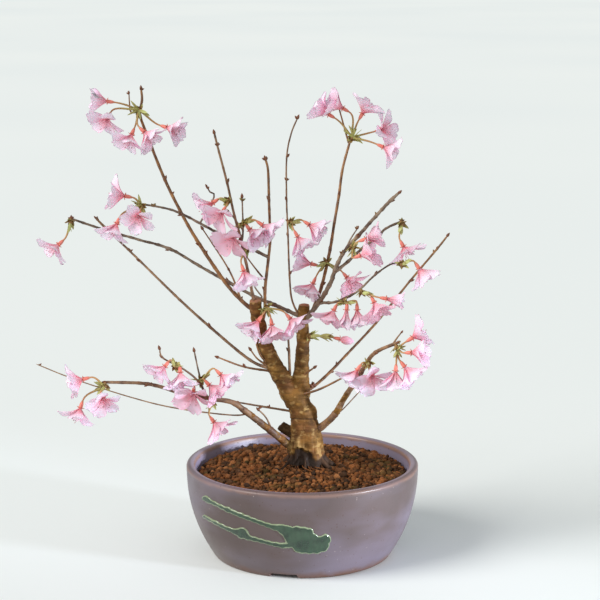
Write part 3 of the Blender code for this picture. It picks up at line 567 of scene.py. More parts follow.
def lumpy(points: np.ndarray, scale: float, depth: int = 2) -> np.ndarray:
    """Soft noise from -1 to 1 at each point, with lumps about 1 / scale mm across."""
    return np.array([noise.fractal(Vector(point) * scale, 1.0, 2.0, depth) for point in points])


def write_marks(piece: Thing, **marks: np.ndarray) -> None:
    """Keep numbers for each point on the mesh, for its finish."""
    for name, values in marks.items():
        layer = piece.data.attributes.new(name, "FLOAT", "POINT")
        layer.data.foreach_set("value", np.asarray(values, np.float32))


def place(piece: Thing, slot: Slot, nodes: list[str]) -> Thing:
    """Put a finished object in the scene, on the plant's body.

    Args:
        piece: The object.
        slot: Not used.
        nodes: The nodes that it replaces.

    Returns:
        The object.
    """
    if piece.name not in bpy.context.scene.collection.objects:
        bpy.context.scene.collection.objects.link(piece)
    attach(piece, "root")
    if nodes:
        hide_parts(*nodes)
    LOG.info("%s: %d faces", piece.name, len(piece.data.polygons))
    return piece


class Shape:
    """Points, faces and marks gathered for one piece."""

    def __init__(self, *marks: str) -> None:
        """Start empty, with the names of the numbers kept for each point."""
        self.points: list[np.ndarray] = []
        self.faces: Faces = []
        self.finish: list[int] = []
        self.marks: dict[str, list[np.ndarray]] = {mark: [] for mark in marks}
        self.count = 0

    def add(self, points: np.ndarray, faces: Faces, finish: int = 0,
            **marks: float | np.ndarray) -> None:
        """Take in a part.

        Args:
            points: Its points in mm.
            faces: Its faces.
            finish: Which of the piece's finishes it has.
            marks: A number, or one for each point, for each of the piece's marks.
        """
        self.points.append(points)
        self.faces += [tuple(corner + self.count for corner in face) for face in faces]
        self.finish += [finish] * len(faces)
        for name, kept in self.marks.items():
            values = np.asarray(marks.get(name, 0.0), float)
            kept.append(np.broadcast_to(values, (len(points),)))
        self.count += len(points)

    def piece(self, name: str, finishes: list[Material], slot: Slot, nodes: list[str]) -> Thing:
        """Make the object, riding on the plant and standing for its nodes.

        Args:
            name: The piece's name.
            finishes: Its materials, in the order of the finish numbers.
            slot: Not used.
            nodes: The nodes that it replaces.

        Returns:
            The object.
        """
        mesh = bpy.data.meshes.new(name)
        mesh.from_pydata((np.concatenate(self.points) * MM).tolist(), [], self.faces)
        for finish in finishes:
            mesh.materials.append(finish)
        mesh.polygons.foreach_set("material_index", np.array(self.finish, np.int32))
        mesh.shade_smooth()
        made = bpy.data.objects.new(name, mesh)
        write_marks(made, **{mark: np.concatenate(kept) for mark, kept in self.marks.items()})
        return place(made, slot, nodes)


def plain_object(name: str, points: np.ndarray, faces: Faces) -> Thing:
    """Object in the scene, turned to face outwards.

    Args:
        name: Its name.
        points: Its points in mm.
        faces: Its faces.

    Returns:
        The object.
    """
    mesh = bpy.data.meshes.new(name)
    mesh.from_pydata((points * MM).tolist(), [], faces)
    shape = bmesh.new()
    shape.from_mesh(mesh)
    bmesh.ops.recalc_face_normals(shape, faces=shape.faces)
    shape.to_mesh(mesh)
    shape.free()
    made = bpy.data.objects.new(name, mesh)
    bpy.context.scene.collection.objects.link(made)
    return made


def settled(piece: Thing) -> Thing:
    """The object with its modifiers made part of its mesh."""
    graph = bpy.context.evaluated_depsgraph_get()
    result = bpy.data.meshes.new_from_object(piece.evaluated_get(graph))
    piece.modifiers.clear()
    piece.data = result
    return piece


def joined(body: Thing, others: list[Thing], operation: str) -> Thing:
    """Join others to a body, or cut them from it, and remove them.

    Args:
        body: The object that stays.
        others: The objects that go.
        operation: UNION or DIFFERENCE.

    Returns:
        The body.
    """
    holder = bpy.data.collections.new(body.name + "_others")
    bpy.context.scene.collection.children.link(holder)
    for other in others:
        bpy.context.scene.collection.objects.unlink(other)
        holder.objects.link(other)
    modifier = body.modifiers.new("Boolean", "BOOLEAN")
    modifier.operation = operation
    modifier.operand_type = "COLLECTION"
    modifier.collection = holder
    modifier.solver = "MANIFOLD"
    settled(body)
    for other in others:
        bpy.data.objects.remove(other)
    bpy.data.collections.remove(holder)
    return body


def read_rows(source: bpy.types.bpy_prop_collection, field_name: str) -> np.ndarray:
    """Three numbers for each point of a mesh, one point a row."""
    flat = np.empty(len(source) * 3, np.float32)
    source.foreach_get(field_name, flat)
    return flat.reshape(-1, 3).astype(float)


def dress(piece: Thing, finish: Material) -> None:
    """Give a piece one finish."""
    piece.data.materials.clear()
    piece.data.materials.append(finish)


def smooth_under(piece: Thing, degrees: float) -> None:
    """Smooth shading, with creases sharper than an angle kept sharp.

    Args:
        piece: The object.
        degrees: The angle.
    """
    shape = bmesh.new()
    shape.from_mesh(piece.data)
    limit = math.radians(degrees)
    for face in shape.faces:
        face.smooth = True
    for edge in shape.edges:
        if len(edge.link_faces) == 2:
            edge.smooth = edge.calc_face_angle(0.0) < limit
    shape.to_mesh(piece.data)
    shape.free()


def srgb(red: int, green: int, blue: int) -> Colour:
    """Linear colour of the given 0 to 255 levels."""
    levels = [level / 255 for level in (red, green, blue)]
    return tuple(x / 12.92 if x <= 0.04045 else ((x + 0.055) / 1.055) ** 2.4 for x in levels)


class Graph:
    """Adds nodes to a shader tree in few words."""

    def __init__(self, tree: bpy.types.ShaderNodeTree) -> None:
        """Work on a tree."""
        self.tree = tree

    def feed(self, socket: Socket, value: object) -> None:
        """Link a socket to another, or set it.

        Args:
            socket: The socket that takes the value.
            value: A number, a colour, a vector or another node's output.
        """
        if isinstance(value, Socket):
            self.tree.links.new(value, socket)
        elif isinstance(value, tuple) and len(value) == 3 and socket.type == "RGBA":
            socket.default_value = (*value, 1.0)
        else:
            socket.default_value = value

    def feed_all(self, node: bpy.types.ShaderNode, inputs: dict[str, object]) -> None:
        """Set or link a node's inputs by name, with underscores for spaces."""
        for name, value in inputs.items():
            self.feed(node.inputs[name.replace("_", " ")], value)

    def add(self, kind: str, **inputs: object) -> bpy.types.ShaderNode:
        """New node, with its inputs set."""
        node = self.tree.nodes.new(kind)
        self.feed_all(node, inputs)
        return node

    def math(self, operation: str, first: object, second: object = 0.0) -> Socket:
        """Output of a Math node.

        Args:
            operation: The node's operation.
            first: Its first number.
            second: Its second number, where it has one.

        Returns:
            The result.
        """
        node = self.add("ShaderNodeMath")
        node.operation = operation
        self.feed(node.inputs[0], first)
        self.feed(node.inputs[1], second)
        return node.outputs[0]

    def mix(self, share: object, first: object, second: object) -> Socket:
        """Colour between two.

        Args:
            share: How much of the second colour it has, from 0 to 1.
            first: The first colour.
            second: The second colour.

        Returns:
            The colour.
        """
        node = self.add("ShaderNodeMix")
        node.data_type = "RGBA"
        for number, value in ((0, share), (6, first), (7, second)):
            self.feed(node.inputs[number], value)
        return node.outputs[2]

    def ramp(self, share: object, *stops: tuple[float, Colour]) -> Socket:
        """Colour from a ramp.

        Args:
            share: Place on the ramp, from 0 to 1.
            stops: The ramp's places and colours.

        Returns:
            The colour.
        """
        node = self.add("ShaderNodeValToRGB", Fac=share)
        elements = node.color_ramp.elements
        while len(elements) < len(stops):
            elements.new(1.0)
        for element, (position, colour) in zip(elements, stops):
            element.position = position
            element.color = (*colour, 1.0)
        return node.outputs[0]

    def span(self, value: object, low: float, high: float, start: float = 0.0,
             end: float = 1.0) -> Socket:
        """Value mapped from low..high to start..end, held at the ends."""
        node = self.add("ShaderNodeMapRange", Value=value)
        for number, given in enumerate((low, high, start, end), start=1):
            node.inputs[number].default_value = given
        return node.outputs[0]

    def mark(self, name: str) -> Socket:
        """A mark kept on the mesh."""
        node = self.add("ShaderNodeAttribute")
        node.attribute_name = name
        return node.outputs["Fac"]

    def place(self, stretch: Triple) -> Socket:
        """The object's own coordinates, in metres, stretched."""
        coordinates = self.add("ShaderNodeTexCoord").outputs["Object"]
        return self.add("ShaderNodeMapping", Vector=coordinates, Scale=stretch).outputs[0]

    def grain(self, scale: float, detail: float, stretch: Triple = (1.0, 1.0, 1.0)) -> Socket:
        """Fine noise over the object, from 0 to 1."""
        return self.add("ShaderNodeTexNoise", Vector=self.place(stretch), Scale=scale,
                        Detail=detail).outputs[0]


class Group(Graph):
    """A shader group in the making."""

    def __init__(self, name: str, **inputs: float | None) -> None:
        """Make an empty group that puts out one mask.

        Args:
            name: The group's name.
            inputs: First value of each input, or None for a vector.
        """
        made = bpy.data.node_groups.new(name, "ShaderNodeTree")
        for label, value in inputs.items():
            kind = "NodeSocketVector" if value is None else "NodeSocketFloat"
            socket = made.interface.new_socket(name=label, in_out="INPUT", socket_type=kind)
            if value is not None:
                socket.default_value = value
        made.interface.new_socket(name="Mask", in_out="OUTPUT", socket_type="NodeSocketFloat")
        super().__init__(made)
        self.given = self.add("NodeGroupInput").outputs
        self.result = self.add("NodeGroupOutput").inputs["Mask"]


@dataclass
class Effects:
    """Shader groups that more than one finish uses."""

    mottle: bpy.types.ShaderNodeTree = field(init=False)
    speckle: bpy.types.ShaderNodeTree = field(init=False)

    def __post_init__(self) -> None:
        """Build the groups once."""
        self.mottle = self.build_mottle()
        self.speckle = self.build_speckle()

    def build_mottle(self) -> bpy.types.ShaderNodeTree:
        """Soft patches: a noise between two levels, as a mask from 0 to 1."""
        group = Group("mottle", Vector=None, Scale=100.0, Detail=3.0, Low=0.35, High=0.65)
        cloud = group.add("ShaderNodeTexNoise", Vector=group.given["Vector"],
                          Scale=group.given["Scale"], Detail=group.given["Detail"])
        mapped = group.add("ShaderNodeMapRange", Value=cloud.outputs[0],
                           From_Min=group.given["Low"], From_Max=group.given["High"])
        group.feed(group.result, mapped.outputs[0])
        return group.tree

    def build_speckle(self) -> bpy.types.ShaderNodeTree:
        """Scattered dots of uneven size, as a mask from 0 to 1."""
        group = Group("speckle", Vector=None, Scale=300.0, Size=0.2, Share=0.5)
        cells = group.add("ShaderNodeTexVoronoi", Vector=group.given["Vector"],
                          Scale=group.given["Scale"])
        parts = group.add("ShaderNodeSeparateColor", Color=cells.outputs["Color"])
        kept = group.math("LESS_THAN", parts.outputs[0], group.given["Share"])
        size = group.math("MULTIPLY", group.given["Size"], parts.outputs[1])
        dot = group.math("LESS_THAN", cells.outputs["Distance"], size)
        group.feed(group.result, group.math("MULTIPLY", kept, dot))
        return group.tree


class Surface(Graph):
    """A material in the making: its shader, and its colour so far."""

    def __init__(self, name: str, effects: Effects, colour: Colour) -> None:
        """Start a material.

        Args:
            name: Its name.
            effects: The shared shader groups.
            colour: Its ground colour.
        """
        self.material = bpy.data.materials.new(name)
        self.material.use_nodes = True
        super().__init__(self.material.node_tree)
        self.shader = self.tree.nodes["Principled BSDF"]
        self.effects = effects
        self.colour: object = colour

    def group(self, made: bpy.types.ShaderNodeTree, stretch: Triple, **inputs: float) -> Socket:
        """Mask of a shared group, placed on the object's own coordinates."""
        node = self.add("ShaderNodeGroup")
        node.node_tree = made
        self.feed_all(node, {"Vector": self.place(stretch), **inputs})
        return node.outputs[0]

    def cloud(self, scale: float, detail: float, low: float, high: float,
              stretch: Triple = (1.0, 1.0, 1.0)) -> Socket:
        """Mask of soft patches.

        Args:
            scale: How fine they are.
            detail: How much finer noise they have.
            low: Noise level at which the mask starts.
            high: Noise level at which it is full.
            stretch: How much finer they are along x, y and z.

        Returns:
            The mask, from 0 to 1.
        """
        return self.group(self.effects.mottle, stretch, Scale=scale, Detail=detail, Low=low,
                          High=high)

    def dots(self, scale: float, size: float, share: float,
             stretch: Triple = (1.0, 1.0, 1.0)) -> Socket:
        """Mask of scattered dots, by their fineness, size and share of the cells."""
        return self.group(self.effects.speckle, stretch, Scale=scale, Size=size, Share=share)

    def lay(self, mask: Socket, colour: object, share: float = 1.0) -> None:
        """Lay a colour over the surface.

        Args:
            mask: Where it lies.
            colour: The colour.
            share: How much of it shows where the mask is full.
        """
        cover = mask if share == 1.0 else self.math("MULTIPLY", mask, share)
        self.colour = self.mix(cover, self.colour, colour)

    def emboss(self, height: Socket, strength: float, depth: float) -> None:
        """Give the shader a fine relief.

        Args:
            height: Height as a number that changes over the surface.
            strength: How much of the relief shows.
            depth: Depth in mm for a height of one.
        """
        bump = self.add("ShaderNodeBump", Height=height, Strength=strength, Distance=depth * MM)
        self.feed(self.shader.inputs["Normal"], bump.outputs[0])

    def finished(self, **inputs: object) -> Material:
        """The material, with its colour fed and the shader's own inputs set."""
        self.feed_all(self.shader, {"Base Color": self.colour, **inputs})
        return self.material


@dataclass(frozen=True)
class StonewareFinish:
    """Unglazed mauve stoneware, worn to orange clay along the rim and browner at the foot."""

    body: Colour = srgb(95, 80, 79)
    dusk: Colour = srgb(79, 67, 64)
    lavender: Colour = srgb(122, 112, 127)
    inner: Colour = srgb(152, 143, 164)
    rim: Colour = srgb(168, 126, 104)
    foot: Colour = srgb(104, 74, 60)
    iron: Colour = srgb(84, 62, 56)
    grit: Colour = srgb(182, 166, 160)
    smooth: float = 0.31
    rough: float = 0.48

    def make(self, effects: Effects) -> Material:
        """The finish's material, from the shared effects."""
        surface = Surface("stoneware_finish", effects, self.body)
        patches = surface.cloud(26.0, 4.0, 0.38, 0.66)
        drift = surface.cloud(11.0, 3.0, 0.42, 0.64, (1.0, 1.0, 2.5))
        surface.lay(patches, self.dusk, 0.55)
        surface.lay(drift, self.lavender, 0.6)
        surface.lay(surface.mark("inside"), self.inner, 0.85)
        worn = surface.span(patches, 0.0, 1.0, 0.65, 0.95)
        surface.lay(surface.math("MULTIPLY", surface.mark("rim"), worn), self.rim)
        browned = surface.span(drift, 0.0, 1.0, 0.6, 1.0)
        surface.lay(surface.math("MULTIPLY", surface.mark("foot"), browned), self.foot)
        dark = surface.dots(520.0, 0.34, 0.28)
        surface.lay(dark, self.iron, 0.55)
        surface.lay(surface.dots(420.0, 0.2, 0.08, (1.3, 1.2, 1.1)), self.grit, 0.5)
        pits = surface.math("MULTIPLY", dark, -0.6)
        surface.emboss(surface.math("ADD", surface.grain(1400.0, 3.0), pits), 0.35, 0.12)
        return surface.finished(Roughness=surface.span(patches, 0.0, 1.0, self.smooth, self.rough),
                                Specular_IOR_Level=0.45)


@dataclass(frozen=True)
class GlazeFinish:
    """Thick green glaze, dark and streaked within, thin and creamy along its edge."""

    deep: Colour = srgb(27, 46, 33)
    leaf: Colour = srgb(38, 64, 44)
    moss: Colour = srgb(62, 84, 62)
    cream: Colour = srgb(132, 144, 112)

    def make(self, effects: Effects) -> Material:
        """The finish's material, from the shared effects."""
        surface = Surface("glaze_finish", effects, self.deep)
        streaks = surface.cloud(300.0, 4.0, 0.36, 0.62, (1.0, 1.0, 0.35))
        surface.lay(streaks, self.leaf)
        surface.lay(surface.cloud(90.0, 2.0, 0.4, 0.62), self.moss, 0.45)
        surface.lay(surface.span(surface.mark("inward"), 0.75, 1.35, 1.0, 0.0), self.cream)
        surface.emboss(streaks, 0.2, 0.08)
        return surface.finished(Roughness=0.24, Coat_Weight=0.45, Coat_Roughness=0.06)


@dataclass
class StonewarePot:
    """Turned round bowl with drain holes and a notch under the foot at each."""

    radius: float = 82.5
    height: float = 66.0
    wall: float = 6.4
    rim_round: float = 2.4
    foot_radius: float = 63.0
    floor: float = 7.0
    floor_fillet: float = 8.0
    swell: float = 2.3
    inner_rows: Triple = (11.0, 30.0, 63.6)
    wall_top: float = 63.0
    drain_radius: float = 6.0
    drain_ring: float = 36.0
    notch_width: float = 26.0
    notch_height: float = 3.6
    notch_count: int = 3
    first_notch_deg: float = -101.7
    notch_taper: float = 0.6
    segments: int = 200
    row_step: float = 1.5
    throwing_pitch: float = 3.4
    throwing_depth: float = 0.09
    wobble: float = 0.22
    crease_deg: float = 38.0

    def outer_radius(self, height: float) -> float:
        """Radius of the outside at a height."""
        swollen = 1.0 - (1.0 - height / self.height) ** self.swell
        return self.foot_radius + (self.radius - self.foot_radius) * swollen

    def inner_radius(self, height: float) -> float:
        """Radius of the inside at a height, straight between the rows."""
        for low, high in zip(self.inner_rows, self.inner_rows[1:]):
            if height <= high:
                break
        share = (height - low) / (high - low)
        return self.outer_radius(low) * (1 - share) + self.outer_radius(high) * share - self.wall

    def middle_radius(self, height: float) -> float:
        """Radius halfway through the wall at a height."""
        return self.inner_radius(min(height, self.wall_top)) + self.wall / 2

    def profile(self) -> list[tuple[float, float]]:
        """Section from the middle of the floor round the rim to the middle of the underside."""
        rim, half = self.height - self.rim_round, self.wall / 2
        rows = [(reach, self.floor)
                for reach in (0.0, self.foot_radius / 2, self.foot_radius - self.floor_fillet)]
        rows += [(self.inner_radius(height), float(height))
                 for height in np.arange(self.inner_rows[0], rim, self.row_step * 2)]
        for degrees in range(170, 5, -20):
            turn = math.radians(degrees)
            rows.append((self.radius - half + half * math.cos(turn),
                         rim + self.rim_round * math.sin(turn)))
        rows += [(self.outer_radius(height), float(height))
                 for height in np.arange(rim, 2.5, -self.row_step)]
        rows += [(self.outer_radius(1.8) - 0.1, 1.5), (self.foot_radius + 0.2, 0.5),
                 (self.foot_radius - 0.6, 0.1), (self.foot_radius - 1.5, 0.0),
                 (self.foot_radius / 2, 0.0), (0.0, 0.0)]
        return rows

    def turned(self) -> Thing:
        """Body with the marks of throwing on its walls."""
        rows, turn, rings = self.profile(), turns(self.segments), []
        for radius, height in rows[1:-1]:
            wave = 0.0
            in_wall = self.floor + 2.0 < height < self.height - 1.0
            if in_wall or (radius > self.foot_radius and height > 1.0):
                throwing = 0.5 - 0.5 * math.cos(TAU * height / self.throwing_pitch)
                sway = 0.5 + 0.5 * lumpy(ring(turn, 1.0, height * 0.03), 1.3)
                wave = self.throwing_depth * throwing + self.wobble * sway
            outside = radius > self.middle_radius(height)
            rings.append(ring(turn, radius - wave if outside else radius + wave, height))
        return plain_object("pot_bowl", *capped_rings(rows[0][1], rings, rows[-1][1]))

    def cutters(self) -> list[Thing]:
        """Drain holes and the notches from them to the edge of the foot."""
        made, lift = [], np.array([0.0, 0.0, 1.0])
        ends = ((self.drain_ring, self.drain_radius * 0.6, self.notch_height * self.notch_taper),
                (self.foot_radius + 6.0, self.notch_width / 2, self.notch_height))
        block = [(3, 2, 1, 0), (4, 5, 6, 7)]
        block += [(i, (i + 1) % 4, 4 + (i + 1) % 4, 4 + i) for i in range(4)]
        for k in range(self.notch_count):
            turn = math.radians(self.first_notch_deg + 360.0 * k / self.notch_count)
            out = np.array([math.cos(turn), math.sin(turn), 0.0])
            aside = np.array([-out[1], out[0], 0.0])
            middle = out * self.drain_ring
            hole = np.array([middle - lift, middle + lift * (self.floor + 1.0)])
            made.append(plain_object("drain", *sweep(hole, np.full(2, self.drain_radius), 32)))
            corners = [out * reach + aside * half * side + lift * height
                       for reach, half, top in ends
                       for side, height in ((-1, -1.0), (1, -1.0), (0.8, top), (-0.8, top))]
            made.append(plain_object("notch", np.array(corners), block))
        return made

    def mark(self, piece: Thing) -> None:
        """Keep how much each point of the bowl lies on the rim, inside and at the foot."""
        at = read_rows(piece.data.vertices, "co") / MM
        radius, height = np.hypot(at[:, 0], at[:, 1]), at[:, 2]
        ragged = lumpy(at, 0.12) * 0.9
        middle = np.array([self.middle_radius(h) for h in height])
        border = np.abs(radius - self.radius + self.wall / 2) / (self.wall / 2)
        rim = held((height - (self.height - 3.2) + ragged) / 1.2)
        rim *= np.where(radius < middle, 1.0, 0.4) * (0.2 + 0.8 * held((border - 0.6) / 0.3))
        inside = (radius < middle) & (height > self.floor - 0.5)
        foot = held((6.5 + ragged * 3.0 - height) / 5.0)
        write_marks(piece, rim=rim, inside=inside * (1 - rim), foot=foot)

    def build(self, effects: Effects) -> Thing:
        """Build and dress the bowl.

        Args:
            effects: The shared shader groups.

        Returns:
            The bowl.
        """
        piece = joined(self.turned(), self.cutters(), "DIFFERENCE")
        self.mark(piece)
        dress(piece, StonewareFinish().make(effects))
        smooth_under(piece, self.crease_deg)
        return place(piece, Slot.STONEWARE, ["pot"])


@dataclass
class PouredGlaze:
    """Splash of glaze on the front of the pot: two thin trails that run into a lobed pool.

    Each stroke is a row of pixels of the photograph with a half width in pixels.
    """

    pot: StonewarePot
    strokes: tuple[tuple[Triple, ...], ...] = (
        ((205.5, 498.6, 2.9), (209, 501, 2.2), (215.5, 504.2, 1.5), (223, 507.8, 1.6),
         (228.3, 510, 2.2), (234, 512.5, 1.7), (240, 515, 2.1), (253.3, 520, 1.8),
         (266.7, 525, 2), (275, 527.5, 2.8), (280, 528.2, 3.6)),
        ((204.6, 516.8, 1.6), (209, 519.5, 1.2), (215, 522.5, 1.5), (226.7, 528.3, 1.7),
         (235, 531.7, 2.6), (241, 532.8, 4.9), (243, 533.6, 5), (248.3, 537.6, 2.4),
         (258.3, 540.3, 1.9), (270, 543.3, 1.8), (283.3, 545.8, 2.2), (291, 545, 2.4)),
        ((279, 528, 3.6), (286, 531, 5.6), (294.5, 536.8, 9.8), (302, 540.8, 12.2),
         (309, 543, 10.8), (316, 545, 8.4), (321, 544.2, 7.9)),
        ((296, 533, 6.8), (306, 533.6, 5.6), (308.5, 533.6, 5.2)),
        ((319, 544.5, 7.8), (325.6, 539.6, 5)))
    columns: tuple[float, float] = (198.0, 336.0)
    rows: tuple[float, float] = (491.0, 558.0)
    cell: float = 0.5
    outline: float = 0.5
    thickness: float = 0.62
    bead: float = 1.5
    sunk: float = 0.35

    def depth_inside(self, columns: np.ndarray, rows: np.ndarray) -> np.ndarray:
        """Distance in from the splash's edge.

        Args:
            columns: Pixel columns of the places.
            rows: Pixel rows of the places.

        Returns:
            The distance in pixels, negative outside.
        """
        best = np.full(columns.shape, -99.0)
        for stroke in self.strokes:
            for (ax, ay, ar), (bx, by, br) in zip(stroke, stroke[1:]):
                run = np.array([bx - ax, by - ay])
                t = held(((columns - ax) * run[0] + (rows - ay) * run[1]) / run.dot(run))
                gap = np.hypot(columns - ax - run[0] * t, rows - ay - run[1] * t)
                best = np.maximum(best, ar + (br - ar) * t - gap)
        ripple = np.sin(columns * 0.83 + rows * 0.31) * 0.22
        ripple += np.sin(rows * 1.1 - columns * 0.37) * 0.18
        return best + ripple + self.outline

    def on_pot(self, columns: np.ndarray, rows: np.ndarray, lift: np.ndarray) -> np.ndarray:
        """Places on the pot's outside.

        Args:
            columns: Pixel columns at which they are seen.
            rows: Pixel rows at which they are seen.
            lift: How far each is lifted off the pot, in mm.

        Returns:
            The world points in mm, one a row.
        """
        points = []
        for column, row, rise in zip(columns, rows, lift):
            across, up = PAGE.from_pixel(column, row)
            back = -self.pot.radius
            for _ in range(6):
                point = PAGE.spot(across, up, back)
                radius = self.pot.outer_radius(point.z)
                back = -math.sqrt(max(radius ** 2 - point.x ** 2, 1.0))
            out = Vector((point.x, point.y, 0.0)).normalized()
            points.append(tuple(point + out * rise))
        return np.array(points)

    def snapped(self, columns: np.ndarray, rows: np.ndarray) -> tuple[np.ndarray, np.ndarray]:
        """Grid places, with those near the splash's edge moved on to it.

        Args:
            columns: Pixel columns of the places.
            rows: Pixel rows of the places.

        Returns:
            The moved columns and rows.
        """
        step = 0.05
        for _ in range(3):
            depth = self.depth_inside(columns, rows)
            slope_x = (self.depth_inside(columns + step, rows) - depth) / step
            slope_y = (self.depth_inside(columns, rows + step) - depth) / step
            size = np.maximum(slope_x ** 2 + slope_y ** 2, 0.2)
            near = np.abs(depth) < self.cell * 0.55
            columns = np.where(near, columns - slope_x / size * depth, columns)
            rows = np.where(near, rows - slope_y / size * depth, rows)
        return columns, rows

    def build(self, effects: Effects) -> Thing:
        """Build and dress the splash.

        Args:
            effects: The shared shader groups.

        Returns:
            The splash.
        """
        columns, rows = self.snapped(*np.meshgrid(np.arange(*self.columns, self.cell),
                                                  np.arange(*self.rows, self.cell)))
        inward = self.depth_inside(columns, rows)
        inside = inward > -0.02
        whole = inside[:-1, :-1] & inside[1:, :-1] & inside[:-1, 1:] & inside[1:, 1:]
        cells = [(int(i), int(k)) for i, k in np.argwhere(whole)]
        used = sorted({(i + a, k + b) for i, k in cells for a in (0, 1) for b in (0, 1)})
        index = {corner: n for n, corner in enumerate(used)}
        at = np.array(used)
        column, row, deep = (grid[at[:, 0], at[:, 1]] for grid in (columns, rows, inward))
        bead = held(deep / self.bead)
        dome = self.thickness * np.sqrt(1.0 - (1.0 - bead) ** 2) * (1.0 + 0.25 * held(deep / 8.0))
        top = self.on_pot(column, row, dome - 0.12)
        low = self.on_pot(column, row, np.full(len(column), -self.sunk))
        count = len(used)
        faces, edges = [], {}
        for i, k in cells:
            face = [index[corner] for corner in ((i, k), (i + 1, k), (i + 1, k + 1), (i, k + 1))]
            faces += [tuple(face), tuple(corner + count for corner in reversed(face))]
            edges.update(dict.fromkeys(zip(face, face[1:] + face[:1])))
        faces += [(b, a, a + count, b + count) for a, b in edges if (b, a) not in edges]
        shape = Shape("inward")
        shape.add(np.concatenate([top, low]), faces, inward=np.tile(deep, 2))
        return shape.piece("pot_glaze_splash", [GlazeFinish().make(effects)], Slot.STONEWARE, [])


@dataclass(frozen=True)
class SoilFinish:
    """Fired clay granules: orange-brown, with darker damp ones and a few mossy ones."""

    orange: Colour = srgb(152, 93, 49)
    brown: Colour = srgb(88, 58, 33)
    damp: Colour = srgb(44, 32, 24)
    moss: Colour = srgb(80, 74, 36)
    pale: Colour = srgb(176, 122, 76)

    def make(self, effects: Effects) -> Material:
        """The finish's material, from the shared effects."""
        surface = Surface("soil_finish", effects, self.brown)
        surface.colour = surface.ramp(surface.mark("tone"), (0.0, self.damp), (0.3, self.brown),
                                      (0.62, self.orange), (1.0, self.pale))
        surface.lay(surface.cloud(38.0, 3.0, 0.5, 0.62), self.damp, 0.5)
        surface.lay(surface.cloud(60.0, 2.0, 0.58, 0.66, (1.0, 1.6, 1.0)), self.moss, 0.55)
        fine = surface.cloud(900.0, 4.0, 0.3, 0.7)
        surface.lay(fine, self.brown, 0.4)
        surface.emboss(fine, 0.6, 0.25)
        return surface.finished(Roughness=0.92, Specular_IOR_Level=0.2)


